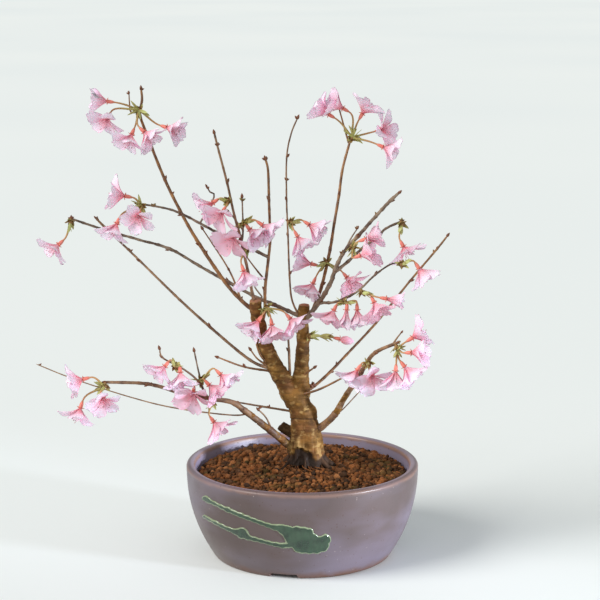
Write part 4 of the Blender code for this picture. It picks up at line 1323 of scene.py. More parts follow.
@dataclass
class GranularSoil:
    """Filling of the pot: a dark bed with loose granules over it and a few root hairs."""

    pot: StonewarePot
    edge_level: float = 57.5
    mound: float = 4.5
    trunk_x: float = 3.2
    trunk_y: float = 5.0
    trunk_radius: float = 12.5
    bed_rings: int = 44
    bed_sides: int = 150
    bed_depth: float = 14.0
    large: tuple[float, float] = (1.5, 3.0)
    small: tuple[float, float] = (0.7, 1.3)
    large_count: int = 1600
    small_count: int = 2200
    hairs: int = 70
    seed: int = 23

    def level(self, x: float, y: float) -> float:
        """Height of the soil surface at a place, before its grains."""
        reach = self.pot.inner_radius(self.edge_level)
        away = math.hypot(x - self.trunk_x, y - self.trunk_y) / reach
        return self.edge_level + self.mound * max(0.0, 1.0 - away) ** 0.8

    @property
    def ground(self) -> float:
        """Height of the soil surface at the trunk."""
        return self.level(self.trunk_x, self.trunk_y)

    def add_bed(self, shape: Shape, edge: float) -> None:
        """Dark uneven bed under the granules, closed below.

        Args:
            shape: The piece that takes it.
            edge: Its radius at the top.
        """
        turn, rings = turns(self.bed_sides), []
        for number in range(1, self.bed_rings + 1):
            flat = ring(turn, edge * number / self.bed_rings, 0.0)
            flat[:, 2] = [self.level(x, y) for x, y, _ in flat]
            flat[:, 2] += lumpy(flat, 0.22, 3) * 1.3 - 1.1
            rings.append(flat)
        low = self.edge_level - self.bed_depth
        rings.append(ring(turn, self.pot.inner_radius(low) - GAP * 2, low))
        shape.add(*capped_rings(self.level(0.0, 0.0) - 0.8, rings, low), tone=0.12)

    def scattered(self, draw: np.random.Generator, count: int, sizes: tuple[float, float],
                  edge: float, taken: list[Triple], spacing: float) -> list[Triple]:
        """Places and radii of granules that keep off each other.

        Args:
            draw: Source of random numbers.
            count: How many are wanted.
            sizes: Their smallest and largest radius.
            edge: Radius of the bed.
            taken: Granules that lie there already.
            spacing: Share of two radii that they stay apart.

        Returns:
            Each granule's x, y and radius.
        """
        step, grid, found = 7.0, {}, []
        for x, y, radius in taken:
            grid.setdefault((int(x // step), int(y // step)), []).append((x, y, radius))
        for _ in range(count * 9):
            if len(found) == count:
                break
            reach, turn = edge * math.sqrt(draw.random()), TAU * draw.random()
            radius = sizes[0] + (sizes[1] - sizes[0]) * draw.random() ** 1.6
            x, y = reach * math.cos(turn), reach * math.sin(turn)
            from_trunk = math.hypot(x - self.trunk_x, y - self.trunk_y)
            if math.hypot(x, y) > edge - radius or from_trunk < self.trunk_radius:
                continue
            i, k = int(x // step), int(y // step)
            near = [item for a in (-1, 0, 1) for b in (-1, 0, 1)
                    for item in grid.get((i + a, k + b), [])]
            if any(math.hypot(x - u, y - v) < (radius + r) * spacing for u, v, r in near):
                continue
            grid.setdefault((i, k), []).append((x, y, radius))
            found.append((x, y, radius))
        return found

    def add_granules(self, shape: Shape, draw: np.random.Generator, places: list[Triple],
                     detail: int) -> None:
        """Lumpy granules, half sunk in the bed.

        Args:
            shape: The piece that takes them.
            draw: Source of random numbers.
            places: Each granule's x, y and radius.
            detail: How finely the balls are divided.
        """
        ball = bmesh.new()
        bmesh.ops.create_icosphere(ball, subdivisions=detail, radius=1.0)
        knobs = np.array([tuple(vertex.co) for vertex in ball.verts])
        faces = [tuple(vertex.index for vertex in face.verts) for face in ball.faces]
        ball.free()
        waves = ((0.14, 2.6), (0.1, 4.4), (0.05, 7.0))
        for x, y, radius in places:
            lump = 1.0 + sum(size * np.sin(rate * knobs @ unit(draw.normal(size=3))
                                           + TAU * draw.random()) for size, rate in waves)
            stretch = np.array([1.0, draw.uniform(0.72, 1.0), draw.uniform(0.66, 0.9)])
            turn = np.array(Matrix.Rotation(TAU * draw.random(), 3, Vector(draw.normal(size=3))))
            rise = self.level(x, y) + radius * draw.uniform(-0.15, 0.42) - 0.5
            points = (knobs * lump[:, None] * stretch * radius) @ turn.T + np.array([x, y, rise])
            shape.add(points, faces, tone=float(held(draw.normal(0.46, 0.23))))

    def add_root_hairs(self, shape: Shape, draw: np.random.Generator) -> None:
        """Thin reddish roots that run from the foot of the trunk over the soil.

        Args:
            shape: The piece that takes them.
            draw: Source of random numbers.
        """
        t = np.linspace(0.0, 1.0, 7)
        for _ in range(self.hairs):
            turn, reach = TAU * draw.random(), draw.uniform(4.0, 13.0)
            heading = turn + draw.uniform(-0.9, 0.9) * t ** 2
            path = ring(heading, self.trunk_radius - 1.5 + reach * t, t)
            path += np.array([self.trunk_x, self.trunk_y, 0.0])
            path[:, 2] = [self.level(x, y) for x, y, _ in path]
            path[:, 2] += 2.2 * (1 - t) ** 2 + 0.4 * (1 - t)
            path[:, 2] += draw.uniform(0.4, 1.6) * np.sin(math.pi * t)
            shape.add(*sweep(path, np.linspace(0.5, 0.16, 7), 5), tone=draw.uniform(0.15, 0.8))

    def build(self, effects: Effects) -> Thing:
        """Build and dress the soil.

        Args:
            effects: The shared shader groups.

        Returns:
            The soil.
        """
        draw = np.random.default_rng(self.seed)
        edge = self.pot.inner_radius(self.edge_level - 2.0) - GAP * 2
        shape = Shape("tone")
        self.add_bed(shape, edge)
        large = self.scattered(draw, self.large_count, self.large, edge, [], 0.74)
        self.add_granules(shape, draw, large, 2)
        small = self.scattered(draw, self.small_count, self.small, edge, large, 0.6)
        self.add_granules(shape, draw, small, 1)
        self.add_root_hairs(shape, draw)
        return shape.piece("soil_granules", [SoilFinish().make(effects)], Slot.SOIL, ["soil"])


@dataclass(frozen=True)
class BarkFinish:
    """Cherry bark: olive to red-brown with level lenticels, dark and fibrous at the root."""

    olive: Colour = srgb(150, 108, 50)
    brown: Colour = srgb(98, 66, 30)
    shade: Colour = srgb(58, 40, 23)
    pale: Colour = srgb(200, 164, 104)
    red: Colour = srgb(138, 86, 50)
    root: Colour = srgb(42, 29, 20)
    fibre: Colour = srgb(100, 72, 52)
    wood: Colour = srgb(158, 112, 84)

    def make(self, effects: Effects) -> Material:
        """The finish's material, from the shared effects."""
        surface = Surface("bark_finish", effects, self.olive)
        bands = surface.cloud(230.0, 4.0, 0.36, 0.64, (0.5, 0.5, 2.2))
        surface.lay(surface.cloud(95.0, 4.0, 0.36, 0.64), self.brown)
        surface.lay(surface.cloud(48.0, 2.0, 0.5, 0.64, (1.0, 1.0, 0.8)), self.red, 0.55)
        surface.lay(bands, self.shade, 0.55)
        surface.lay(surface.cloud(170.0, 3.0, 0.56, 0.68, (1.0, 1.0, 1.4)), self.pale, 0.6)
        surface.lay(surface.mark("lenticel"), self.pale, 0.36)
        surface.lay(surface.mark("collar"), self.pale, 0.7)
        surface.lay(surface.mark("crack"), self.shade)
        stringy = surface.math("MULTIPLY", surface.mark("fibre"), 0.6)
        surface.lay(surface.mark("root"), surface.mix(stringy, self.root, self.fibre))
        surface.lay(surface.mark("cut"), self.wood)
        furrows = surface.math("MULTIPLY", bands, -0.5)
        grain = surface.grain(900.0, 5.0, (1.0, 1.0, 1.7))
        surface.emboss(surface.math("ADD", grain, furrows), 0.55, 0.3)
        return surface.finished(Roughness=surface.span(bands, 0.0, 1.0, 0.58, 0.78),
                                Specular_IOR_Level=0.2)


@dataclass(frozen=True)
class ShootFinish:
    """Bark of the young shoots: red-brown and shiny to grey and dull, with brown buds."""

    brown: Colour = srgb(154, 106, 58)
    dark: Colour = srgb(100, 64, 36)
    grey: Colour = srgb(146, 126, 106)
    soot: Colour = srgb(84, 66, 54)
    bud: Colour = srgb(112, 64, 34)
    tip: Colour = srgb(150, 160, 78)
    dot: Colour = srgb(186, 156, 112)

    def make(self, effects: Effects) -> Material:
        """The finish's material, from the shared effects."""
        surface = Surface("shoot_finish", effects, self.brown)
        patches, age = surface.cloud(140.0, 3.0, 0.38, 0.62), surface.mark("grey")
        surface.lay(patches, self.dark)
        surface.lay(age, surface.mix(patches, self.grey, self.soot))
        surface.lay(surface.dots(900.0, 0.4, 0.3), self.dot, 0.6)
        surface.lay(surface.mark("bud"), self.bud)
        surface.lay(surface.mark("green"), self.tip)
        surface.emboss(surface.grain(1600.0, 3.0), 0.4, 0.12)
        return surface.finished(Roughness=surface.span(age, 0.0, 1.0, 0.42, 0.72))


@dataclass
class Trunk:
    """Trunk, root flare, sawn limbs and the thick feet of the lowest branches, in one skin of bark.

    The foot's rows are heights over the soil, shares of the flare's radius and depths of
    its lobes. The stem's rows are page places, radii and depths of the lobes. A knot is a
    pixel of the photograph, how far back it lies, its reach and its height.
    """

    soil: GranularSoil
    flare_radius: float = 14.5
    flare_lobes: int = 5
    lobe_depth: float = 0.17
    foot: tuple[Triple, ...] = (
        (-15.0, 0.62, 0.5), (-4.0, 0.9, 1.0), (2.0, 0.93, 1.0), (6.5, 0.82, 0.8))
    stem: tuple[tuple[Triple, float, float], ...] = (
        ((4.2, -98.0, 5.0), 11.2, 0.45), ((4.2, -93.0, 5.0), 10.4, 0.3),
        ((2.8, -86.0, 4.5), 9.3, 0.2), ((1.2, -78.5, 4.0), 8.6, 0.1),
        ((-1.0, -71.5, 4.0), 7.9, 0.1), ((-2.6, -65.5, 4.0), 7.8, 0.1),
        ((-3.3, -60.5, 4.0), 7.0, 0.1))
    thick_feet: tuple[tuple[str, float], ...] = (("J", 62.0), ("P", 58.0))
    roots: tuple[Triple, ...] = (
        (200.0, 13.0, 3.2), (238.0, 9.0, 2.2), (262.0, 12.0, 3.4), (296.0, 9.0, 2.4),
        (322.0, 14.0, 2.6), (350.0, 15.0, 3.2), (40.0, 12.0, 3.4), (95.0, 11.0, 3.0),
        (150.0, 12.0, 3.2))
    skin_cell: float = 0.62
    lenticel_rows: float = 3.3
    lenticel_wide: float = 6.0
    lenticel_rise: float = 0.32
    lenticel_share: float = 0.36
    crack_up: float = -83.3
    scar: tuple[float, float] = (297.0, 376.5)
    scar_half: float = 7.0
    hollow_deg: float = -112.0
    knots: tuple[tuple[float, ...], ...] = (
        (314.5, 410, 4, 4.5, 2.2), (313, 424, 3, 4, 1.6), (290, 437, -2, 5, 1.4),
        (268, 345, -3, 3, 1.5), (272, 360, -1, 3, 1.4), (279, 377, 1, 3.2, 1.5),
        (284, 396, 3, 3.4, 1.2), (262, 325, -5, 3, 1.3), (306, 392, 4, 4, 1.4),
        (302, 352, 6, 3.2, 1.2), (298, 402, -4, 3.4, 1.3), (296, 336, 6, 3, 1.2))

    def spine(self) -> tuple[np.ndarray, np.ndarray, np.ndarray]:
        """Centre line, radii and lobe depths of the trunk."""
        ground = Vector((self.soil.trunk_x, self.soil.trunk_y, self.soil.ground))
        rows = [(ground + Vector((0.0, 0.0, rise)), self.flare_radius * share, lobes)
                for rise, share, lobes in self.foot]
        rows += [(PAGE.spot(*spot), radius, lobes) for spot, radius, lobes in self.stem]
        places, wide, lobes = (list(column) for column in zip(*rows))
        path, radii = smooth_route(places, wide, 2.0)
        _, lobes = smooth_route(places, lobes, 2.0)
        return as_rows(path), np.array(radii), np.array(lobes)

    def routes(self) -> list[tuple[np.ndarray, np.ndarray]]:
        """Centre lines and radii of the trunk, the limbs and the thick feet, in that order."""
        spine, radii, _ = self.spine()
        found = [(spine, radii)]
        for name, reach in [(limb, math.inf) for limb in LIMBS] + list(self.thick_feet):
            path, widths = shoot_named(name).curve(2.5)
            rows = as_rows(path)
            kept = run_along(rows) < reach
            found.append((rows[kept], np.array(widths)[kept]))
        return found

    def surface_roots(self) -> list[tuple[np.ndarray, np.ndarray]]:
        """Centre lines and radii of the roots that leave the flare and dive into the soil."""
        found, t = [], np.linspace(0.0, 1.0, 9)
        for heading, reach, thick in self.roots:
            away = self.flare_radius * 0.55 + (self.flare_radius * 0.45 + reach - 4.0) * t
            height = self.soil.ground + 9.0 * (1 - t) ** 2.0 - 3.0 * t
            path = ring(math.radians(heading) + 0.2 * t, away, height)
            path += np.array([self.soil.trunk_x, self.soil.trunk_y, 0.0])
            found.append((path, thick * (1 - 0.6 * t)))
        return found

    def skin(self) -> Thing:
        """One closed skin over the trunk and limbs, rounded where they meet."""
        spine, radii, lobes = self.spine()
        sides = 48
        wave = np.cos(self.flare_lobes * turns(sides) + 0.7)
        lobed = radii[:, None] * (1.0 + self.lobe_depth * lobes[:, None] * wave[None, :])
        body = plain_object("trunk_bark", *sweep(spine, lobed, sides))
        others = [plain_object("limb", *sweep(*route, 28)) for route in self.routes()[1:]]
        others += [plain_object("root", *sweep(*route, 14)) for route in self.surface_roots()]
        joined(body, others, "UNION")
        remesh = body.modifiers.new("Skin", "REMESH")
        remesh.mode = "VOXEL"
        remesh.voxel_size = self.skin_cell * MM
        rounding = body.modifiers.new("Rounding", "SMOOTH")
        rounding.factor, rounding.iterations = 0.5, 4
        return settled(body)

    def bark_places(self, at: np.ndarray) -> tuple[np.ndarray, np.ndarray, np.ndarray, np.ndarray]:
        """Where each point lies on the nearest route.

        Args:
            at: Points of the skin in mm, one a row.

        Returns:
            The number of the route, the run along it, the turn round it and the share of
            its run.
        """
        best = np.full(len(at), 1e9)
        which, run_at, turn_at, share_at = (np.zeros(len(at)) for _ in range(4))
        for number, (path, radii) in enumerate(self.routes()):
            _, across, other = carried_frame(path)
            run = run_along(path)
            for i in range(len(path) - 1):
                step = path[i + 1] - path[i]
                t = held((at - path[i]) @ step / step.dot(step))
                off = at - path[i] - t[:, None] * step
                gap = np.linalg.norm(off, axis=1) - radii[i]
                near = gap < best
                best[near] = gap[near]
                which[near] = number
                run_at[near] = (run[i] + t * (run[i + 1] - run[i]))[near]
                turn_at[near] = np.arctan2(off @ other[i], off @ across[i])[near] * radii[i]
                share_at[near] = run_at[near] / run[-1]
        return which, run_at, turn_at, share_at

    def lenticels(self, which: np.ndarray, run: np.ndarray, turn: np.ndarray) -> np.ndarray:
        """Level lens-shaped pores in jittered rows.

        Args:
            which: Number of each point's route.
            run: Its run along the route.
            turn: Its turn round the route, in mm.

        Returns:
            The pores' height at each point, from 0 to 1.
        """
        height = np.zeros(len(run))
        rows, columns = np.floor(run / self.lenticel_rows), np.floor(turn / self.lenticel_wide)
        for a, b in ((a, b) for a in (-1, 0, 1) for b in (-1, 0, 1)):
            row, column = rows + a, columns + b
            cell = row * 12.9 + column * 78.2 + which * 37.7
            seeds = [np.modf(np.abs(np.sin(cell + k * 11.3) * 43758.5))[0] for k in range(4)]
            centre_run = (row + 0.2 + 0.6 * seeds[0]) * self.lenticel_rows
            centre_turn = (column + 0.2 + 0.6 * seeds[1]) * self.lenticel_wide
            half_long, half_high = 1.1 + 2.0 * seeds[2], 0.5
            away = ((turn - centre_turn) / half_long) ** 2 + ((run - centre_run) / half_high) ** 2
            kept = seeds[3] < self.lenticel_share
            height = np.maximum(height, np.where(kept, held(1.0 - away), 0.0))
        return height

    def page_places(self, at: np.ndarray) -> tuple[np.ndarray, np.ndarray]:
        """How far across and how high each world point (mm) is seen on the page."""
        sight = at - np.array(PAGE.eye)
        scale = PAGE.distance / (sight @ np.array(PAGE.into))
        return sight @ np.array(PAGE.right) * scale, sight @ np.array(PAGE.up) * scale

    def crack_and_scar(self, at: np.ndarray, normal: np.ndarray) -> tuple[np.ndarray, np.ndarray]:
        """Level crack round the trunk and pale scar over the fork.

        Args:
            at: Points of the skin in mm, one a row.
            normal: Their normals, one a row.

        Returns:
            How much each point lies in the crack, and on the scar.
        """
        across, up = self.page_places(at)
        ragged = lumpy(at, 0.2)
        crack = bell(up - self.crack_up + ragged * 1.2, 0.55)
        scar_across, scar_up = PAGE.from_pixel(*self.scar)
        scar = bell(up - scar_up + ragged * 0.8, 0.8) * (normal[:, 1] < 0.2)
        return crack, scar * held((self.scar_half - np.abs(across - scar_across)) / 1.5)

    def carve(self, piece: Thing) -> None:
        """Raise the bark's relief and keep its marks.

        Args:
            piece: The skin.
        """
        at = read_rows(piece.data.vertices, "co") / MM
        normal = read_rows(piece.data.vertex_normals, "vector")
        which, run, turn, share = self.bark_places(at)
        trunk, sawn, stub, feet = which == 0, (which > 0) & (which < 3), which == 3, which > 3
        above = at[:, 2] - self.soil.ground
        around = np.arctan2(at[:, 1] - self.soil.trunk_y, at[:, 0] - self.soil.trunk_x)
        furrow = lumpy(ring(around, 9.0, at[:, 2] * 0.12), 0.42, 3)
        low = held((26.0 - above) / 14.0) * trunk
        pores = self.lenticels(which, run, turn) * (1 - low)
        hollow = bell(around - math.radians(self.hollow_deg), 0.62)
        over = above - 8.0 - 8.5 * hollow - lumpy(at, 0.16) * 3.6 - furrow * 1.5
        crack, scar = self.crack_and_scar(at, normal)
        crack *= trunk
        level = np.stack([turn * 0.18, run * 0.9, which * 9.0], axis=1)
        rise = self.lenticel_rise * pores + low * furrow * 1.2 - crack * 0.7 + scar * 0.9
        rise += (bell(over, 1.6) * 0.5 - 1.3 * hollow * (over < 0)) * trunk
        rise += lumpy(at, 0.11) * 0.55 + lumpy(at, 0.3) * 0.4 + lumpy(at, 0.7) * 0.1
        rise += lumpy(level, 0.7) * 0.18
        for column, row, back, reach, height in self.knots:
            knot = np.array(PAGE.spot(*PAGE.from_pixel(column, row), back))
            rise += height * bell(np.linalg.norm(at - knot, axis=1), reach)
        moved = at + normal * (rise * np.where(feet, 0.6, 1.0))[:, None]
        piece.data.vertices.foreach_set("co", (moved * MM).astype(np.float32).ravel())
        collar = held(1.0 - over / 7.0) * (over > 0) * held(0.5 + furrow)
        write_marks(piece, lenticel=pores, crack=crack * 0.8, fibre=held(furrow * 2.2),
                    root=np.where(stub, 0.8, held((-over - 0.6) / 2.0) * trunk),
                    cut=((share > 0.985) & sawn).astype(float), collar=np.maximum(collar, scar))

    def build(self, effects: Effects) -> Thing:
        """Build and dress the trunk.

        Args:
            effects: The shared shader groups.

        Returns:
            The trunk.
        """
        piece = self.skin()
        self.carve(piece)
        dress(piece, BarkFinish().make(effects))
        piece.data.shade_smooth()
        return place(piece, Slot.BARK, ["tree"])


@dataclass
class Shoots:
    """All the shoots and twigs with their buds and leaf scars."""

    coarse_step: float = 26.0
    fine_step: float = 1.8
    bud_length: float = 3.2
    bud_spacing: float = 25.0
    bud_turn_deg: float = 144.0
    clear_of_hub: float = 8.0
    seed: int = 5
    grey_shoots: tuple[str, ...] = ("F", "G", "N", "arc", "O", "O_twig", "P_twig")
    olive_shoots: tuple[str, ...] = (
        "C", "D", "J", "K", "L", "R", "Q", "P", "P_fork", "crotch", "P_spur")

    def bark(self, name: str) -> Bark:
        """Kind of bark on a shoot."""
        if name in self.grey_shoots:
            return Bark.GREY
        return Bark.OLIVE if name in self.olive_shoots else Bark.BROWN

    def add_bud(self, shape: Shape, base: Vector, lean: Vector, size: float, green: float = 0.0,
                sides: int = 7) -> None:
        """Pointed bud with its root sunk in the shoot.

        Args:
            shape: The piece that takes it.
            base: Its root, in mm.
            lean: The way it points.
            size: Its size against a full bud.
            green: How green its tip is, from 0 to 1.
            sides: Number of sides.
        """
        t = np.array([0.0, 0.12, 0.3, 0.5, 0.72, 0.9, 1.0])
        radii = np.array([0.5, 0.92, 1.0, 0.9, 0.6, 0.25, 0.05]) * 0.95 * size
        path = laid(base, (t * self.bud_length * size, lean.normalized()))
        tone = np.repeat(np.linspace(0.0, 1.0, len(path)), sides)
        shape.add(*sweep(path, radii, sides), bud=1.0 - green, green=green * tone)

    def add_even_buds(self, shape: Shape, shoot: Shoot, hubs: list[Vector],
                      draw: random.Random) -> list[float]:
        """Buds at even spacing along a shoot, as its solid has them, and one at its tip.

        Args:
            shape: The piece that takes them.
            shoot: The shoot.
            hubs: Places of the sprays, which the buds keep clear of.
            draw: Source of random numbers.

        Returns:
            How far along the shoot each bud stands.
        """
        path, radii = shoot.curve(self.coarse_step)
        since, turn, run, found = self.bud_spacing * 0.2, draw.uniform(0.0, 6.28), 0.0, []
        for i in range(1, len(path) - 1):
            run += (path[i] - path[i - 1]).length
            since += (path[i] - path[i - 1]).length
            clear = all((path[i] - hub).length >= self.clear_of_hub for hub in hubs)
            if since < self.bud_spacing or not clear:
                continue
            since = draw.uniform(-2.0, 2.0)
            turn += math.radians(self.bud_turn_deg)
            along = (path[i + 1] - path[i - 1]).normalized()
            across = side_vector(along)
            lean = (along * 0.75 + spoke(across, along.cross(across), turn) * 0.65).normalized()
            self.add_bud(shape, path[i] + lean * radii[i] * 0.3, lean, 1.05)
            found.append(run)
        tip = (path[-1] - path[-2]).normalized()
        self.add_bud(shape, path[-1] - tip * 1.5, tip, 1.15)
        return found

    def add_shoot(self, shape: Shape, name: str, nodes: list[float], seed: float) -> None:
        """Fine shoot with swollen nodes and, on older wood, an uneven knobbly bark.

        Args:
            shape: The piece that takes it.
            name: The shoot's name.
            nodes: How far along it its buds stand.
            seed: Offset of its unevenness.
        """
        shoot, kind = SHOOTS[name], self.bark(name)
        path, radii = shoot.curve(self.fine_step)
        rows, widths = as_rows(path), np.array(radii)
        run = run_along(rows)
        sides = 12 if shoot.thick > 1.7 else 8
        spacing, knob, uneven = (7.0, 0.22, 0.3) if kind is Bark.GREY else (12.0, 0.12, 0.12)
        swell = np.exp(-(((run + seed) / spacing) % 1.0 - 0.5) ** 2 / 0.012)
        for node in nodes:
            swell = np.maximum(swell, 1.6 * bell(run - node, 1.3))
        around = [(math.cos(turn) * 0.8 + seed, math.sin(turn) * 0.8) for turn in turns(sides)]
        rough = np.array([[noise.noise(Vector((along * 0.45, *side))) for side in around]
                          for along in run])
        taper = np.clip((run[-1] - run) / 2.0, 0.25, 1.0)
        relief = (widths * taper)[:, None] * (1.0 + knob * swell[:, None] + uneven * rough)
        grey = held(kind.value + 0.25 * rough[:, 0])
        shape.add(*sweep(rows, relief, sides), grey=np.repeat(grey, sides),
                  bud=np.repeat(0.35 * held(swell - 0.6), sides))

    def build(self, effects: Effects, hubs: list[Vector]) -> Thing:
        """Build and dress the shoots.

        Args:
            effects: The shared shader groups.
            hubs: Places of the sprays.

        Returns:
            The shoots.
        """
        shape = Shape("grey", "bud", "green")
        draw = random.Random(self.seed)
        for number, (name, shoot) in enumerate(SHOOTS.items()):
            nodes = self.add_even_buds(shape, shoot, hubs, draw) if shoot.buds else []
            self.add_shoot(shape, name, nodes, number * 3.7)
        SmallGrowth().add(shape, self)
        return shape.piece("shoots_and_buds", [ShootFinish().make(effects)], Slot.BARK, ["tree"])


@dataclass
class SmallGrowth:
    """Little twigs, spurs and bud clusters seen on the shoots, by pixels of the photograph.

    Each row of twigs is a shoot's name, then the pixels that the twig runs through.
    Each cluster is a shoot's name, a pixel, the number of buds, their size and how green they are.
    """

    twigs: tuple[tuple[str, tuple[tuple[float, float], ...]], ...] = (
        ("A", ((131, 112), (129.5, 103), (129, 94))),
        ("L", ((104, 227), (99, 222), (96, 218.5))),
        ("O", ((214, 197), (210, 192), (207, 187))),
        ("O", ((243, 232), (237, 222), (229, 212))),
        ("N", ((262, 297), (256, 289), (251, 280))),
        ("F", ((345, 252), (350, 240), (357, 229))),
        ("J", ((393, 344), (397, 338), (401, 333))),
    )
    clusters: tuple[tuple[str, float, float, int, float, float], ...] = (
        ("B", 265.5, 160, 5, 0.85, 0), ("C", 215, 146, 4, 0.8, 0), ("D", 284, 180, 3, 0.8, 0),
        ("D", 288, 221, 3, 0.7, 0), ("D", 296, 119, 3, 0.9, 0), ("A", 170, 194, 2, 0.8, 0),
        ("A", 202, 256, 3, 0.85, 0), ("A", 236, 304, 4, 0.8, 0), ("A", 129, 95, 2, 0.7, 0),
        ("A", 140.5, 90, 3, 0.75, 0), ("H", 435, 253, 3, 0.7, 0.2), ("H", 336, 364, 2, 0.8, 0),
        ("L", 128, 253, 3, 0.8, 0), ("L", 97, 219, 3, 0.7, 0.1), ("N", 68, 218, 3, 0.8, 0),
        ("O", 153, 200, 5, 0.8, 0.3), ("O", 208, 188, 3, 0.8, 0), ("O_twig", 238, 201, 3, 0.8, 0.8),
        ("F", 375, 214, 2, 0.8, 0.3), ("F", 360, 228, 3, 0.8, 0.2), ("F", 338, 250, 4, 0.9, 0.1),
        ("P", 186, 356, 3, 0.8, 0.7), ("P", 202, 366, 3, 0.8, 0.6), ("P", 160, 352, 3, 0.7, 0.2),
        ("Q", 269, 404, 2, 0.8, 0), ("H", 312.5, 387, 7, 1.15, 0), ("J", 333, 420, 3, 0.8, 0),
        ("E", 361, 125, 2, 0.8, 0.3), ("arc", 402, 259, 3, 0.7, 0.6), ("G", 402, 220, 4, 0.8, 0.5),
        ("R", 40, 364, 2, 0.6, 0),
    )
    seed: int = 71

    def nearest(self, path: list[Vector], across: float, up: float) -> tuple[float, Vector]:
        """How near a line passes to a page place.

        Args:
            path: Points of the line.
            across: How far across the place is.
            up: How far up it is.

        Returns:
            The distance on the page, and the line's point there.
        """
        misses = [math.dist(PAGE.seen(point), (across, up)) for point in path]
        best = misses.index(min(misses))
        return misses[best], path[best]

    def add(self, shape: Shape, shoots: Shoots) -> None:
        """Add every twig and cluster.

        Args:
            shape: The piece that takes them.
            shoots: The shoots that they grow on.
        """
        draw = random.Random(self.seed)
        lines = {name: [shoot.curve(1.5)[0]] for name, shoot in {**SHOOTS, **LIMBS}.items()}
        for name, pixels in self.twigs:
            places = [PAGE.from_pixel(*pixel) for pixel in pixels]
            _, foot = self.nearest(lines[name][0], *places[0])
            path = [PAGE.spot(*spot, foot.y - i) for i, spot in enumerate(places)]
            if (path[0] - foot).length > 1.5:
                path.insert(0, foot)
            line, widths = smooth_route(path, list(np.linspace(0.75, 0.45, len(path))), 1.6)
            lines[name].append(line)
            shape.add(*sweep(as_rows(line), np.array(widths), 6), grey=shoots.bark(name).value)
            shoots.add_bud(shape, line[-1], line[-1] - line[-2], 0.8)
        for name, column, row, count, size, green in self.clusters:
            spot = PAGE.from_pixel(column, row)
            found = [self.nearest(line, *spot) for line in lines[name]]
            centre = min(found, key=lambda each: each[0])[1]
            for _ in range(count):
                lean = PAGE.aim(draw.uniform(20.0, 160.0), draw.uniform(-40.0, 50.0))
                shoots.add_bud(shape, centre, lean, size * draw.uniform(0.85, 1.2), green, 6)


@dataclass(frozen=True)
class PetalFinish:
    """Petal: lilac-pink and pale towards the tip, warm pink at the claw, with faint veins."""

    claw: Colour = srgb(238, 122, 128)
    throat: Colour = srgb(248, 178, 192)
    blade: Colour = srgb(253, 216, 240)
    tip: Colour = srgb(250, 230, 255)
    warm: Colour = srgb(244, 156, 164)
    vein: Colour = srgb(232, 160, 192)
    veins: float = 15.0

    def make(self, effects: Effects) -> Material:
        """The finish's material, from the shared effects."""
        surface = Surface("petal_finish", effects, self.blade)
        along, aside = surface.mark("along"), surface.mark("aside")
        surface.colour = surface.ramp(along, (0.08, self.claw), (0.3, self.throat),
                                      (0.56, self.blade), (1.0, self.tip))
        surface.lay(surface.mark("blush"), self.warm, 0.85)
        wave = surface.math("SINE", surface.math("MULTIPLY", aside, self.veins))
        fading = surface.span(along, 0.1, 0.9, 1.0, 0.25)
        lines = surface.math("MULTIPLY", surface.span(wave, 0.2, 1.0, 0.0, 0.14), fading)
        surface.lay(lines, self.vein)
        sides = surface.span(surface.math("ABSOLUTE", aside), 0.8, 1.0, 0.0, 0.25)
        border = surface.math("MAXIMUM", sides, surface.span(along, 0.9, 1.0, 0.0, 0.2))
        surface.lay(border, self.vein)
        surface.lay(surface.cloud(160.0, 2.0, 0.4, 0.7), self.tip, 0.25)
        surface.emboss(wave, 0.05, 0.05)
        return surface.finished(
            Roughness=0.6, Specular_IOR_Level=0.25, Sheen_Weight=0.15, Subsurface_Weight=0.6,
            Subsurface_Radius=(1.0, 0.6, 0.7), Subsurface_Scale=0.002)


@dataclass(frozen=True)
class StalkFinish:
    """Flower stalk, yellow-green, turning salmon-red over the calyx."""

    green: Colour = srgb(158, 166, 88)
    rust: Colour = srgb(196, 136, 94)
    salmon: Colour = srgb(234, 134, 118)
    deep: Colour = srgb(208, 104, 92)

    def make(self, effects: Effects) -> Material:
        """The finish's material, from the shared effects."""
        surface = Surface("stalk_finish", effects, self.green)
        surface.colour = surface.ramp(surface.mark("ripe"), (0.0, self.green), (0.45, self.rust),
                                      (0.8, self.salmon))
        patches = surface.cloud(320.0, 3.0, 0.45, 0.7)
        surface.lay(patches, self.deep, 0.35)
        surface.emboss(patches, 0.2, 0.06)
        return surface.finished(Roughness=0.5)


@dataclass(frozen=True)
class BractFinish:
    """Bud scales and bracts: brown and papery to fresh yellow-green."""

    scale: Colour = srgb(132, 84, 48)
    olive: Colour = srgb(172, 160, 92)
    fresh: Colour = srgb(198, 208, 134)

    def make(self, effects: Effects) -> Material:
        """The finish's material, from the shared effects."""
        surface = Surface("bract_finish", effects, self.olive)
        surface.colour = surface.ramp(surface.mark("ripe"), (0.0, self.scale), (0.5, self.olive),
                                      (1.0, self.fresh))
        patches = surface.cloud(420.0, 3.0, 0.4, 0.7)
        surface.lay(patches, self.scale, 0.22)
        surface.emboss(patches, 0.3, 0.08)
        return surface.finished(Roughness=0.6)


@dataclass(frozen=True)
class AntherFinish:
    """Stamens: pale pink threads with dark anthers."""

    thread: Colour = srgb(242, 196, 210)
    anther: Colour = srgb(176, 116, 118)

    def make(self, effects: Effects) -> Material:
        """The finish's material, from the shared effects."""
        surface = Surface("stamen_finish", effects, self.thread)
        pollen = surface.math("MULTIPLY", surface.cloud(900.0, 2.0, 0.4, 0.7), 0.4)
        surface.lay(surface.mark("along"), surface.mix(pollen, self.anther, self.thread))
        return surface.finished(Roughness=0.6)


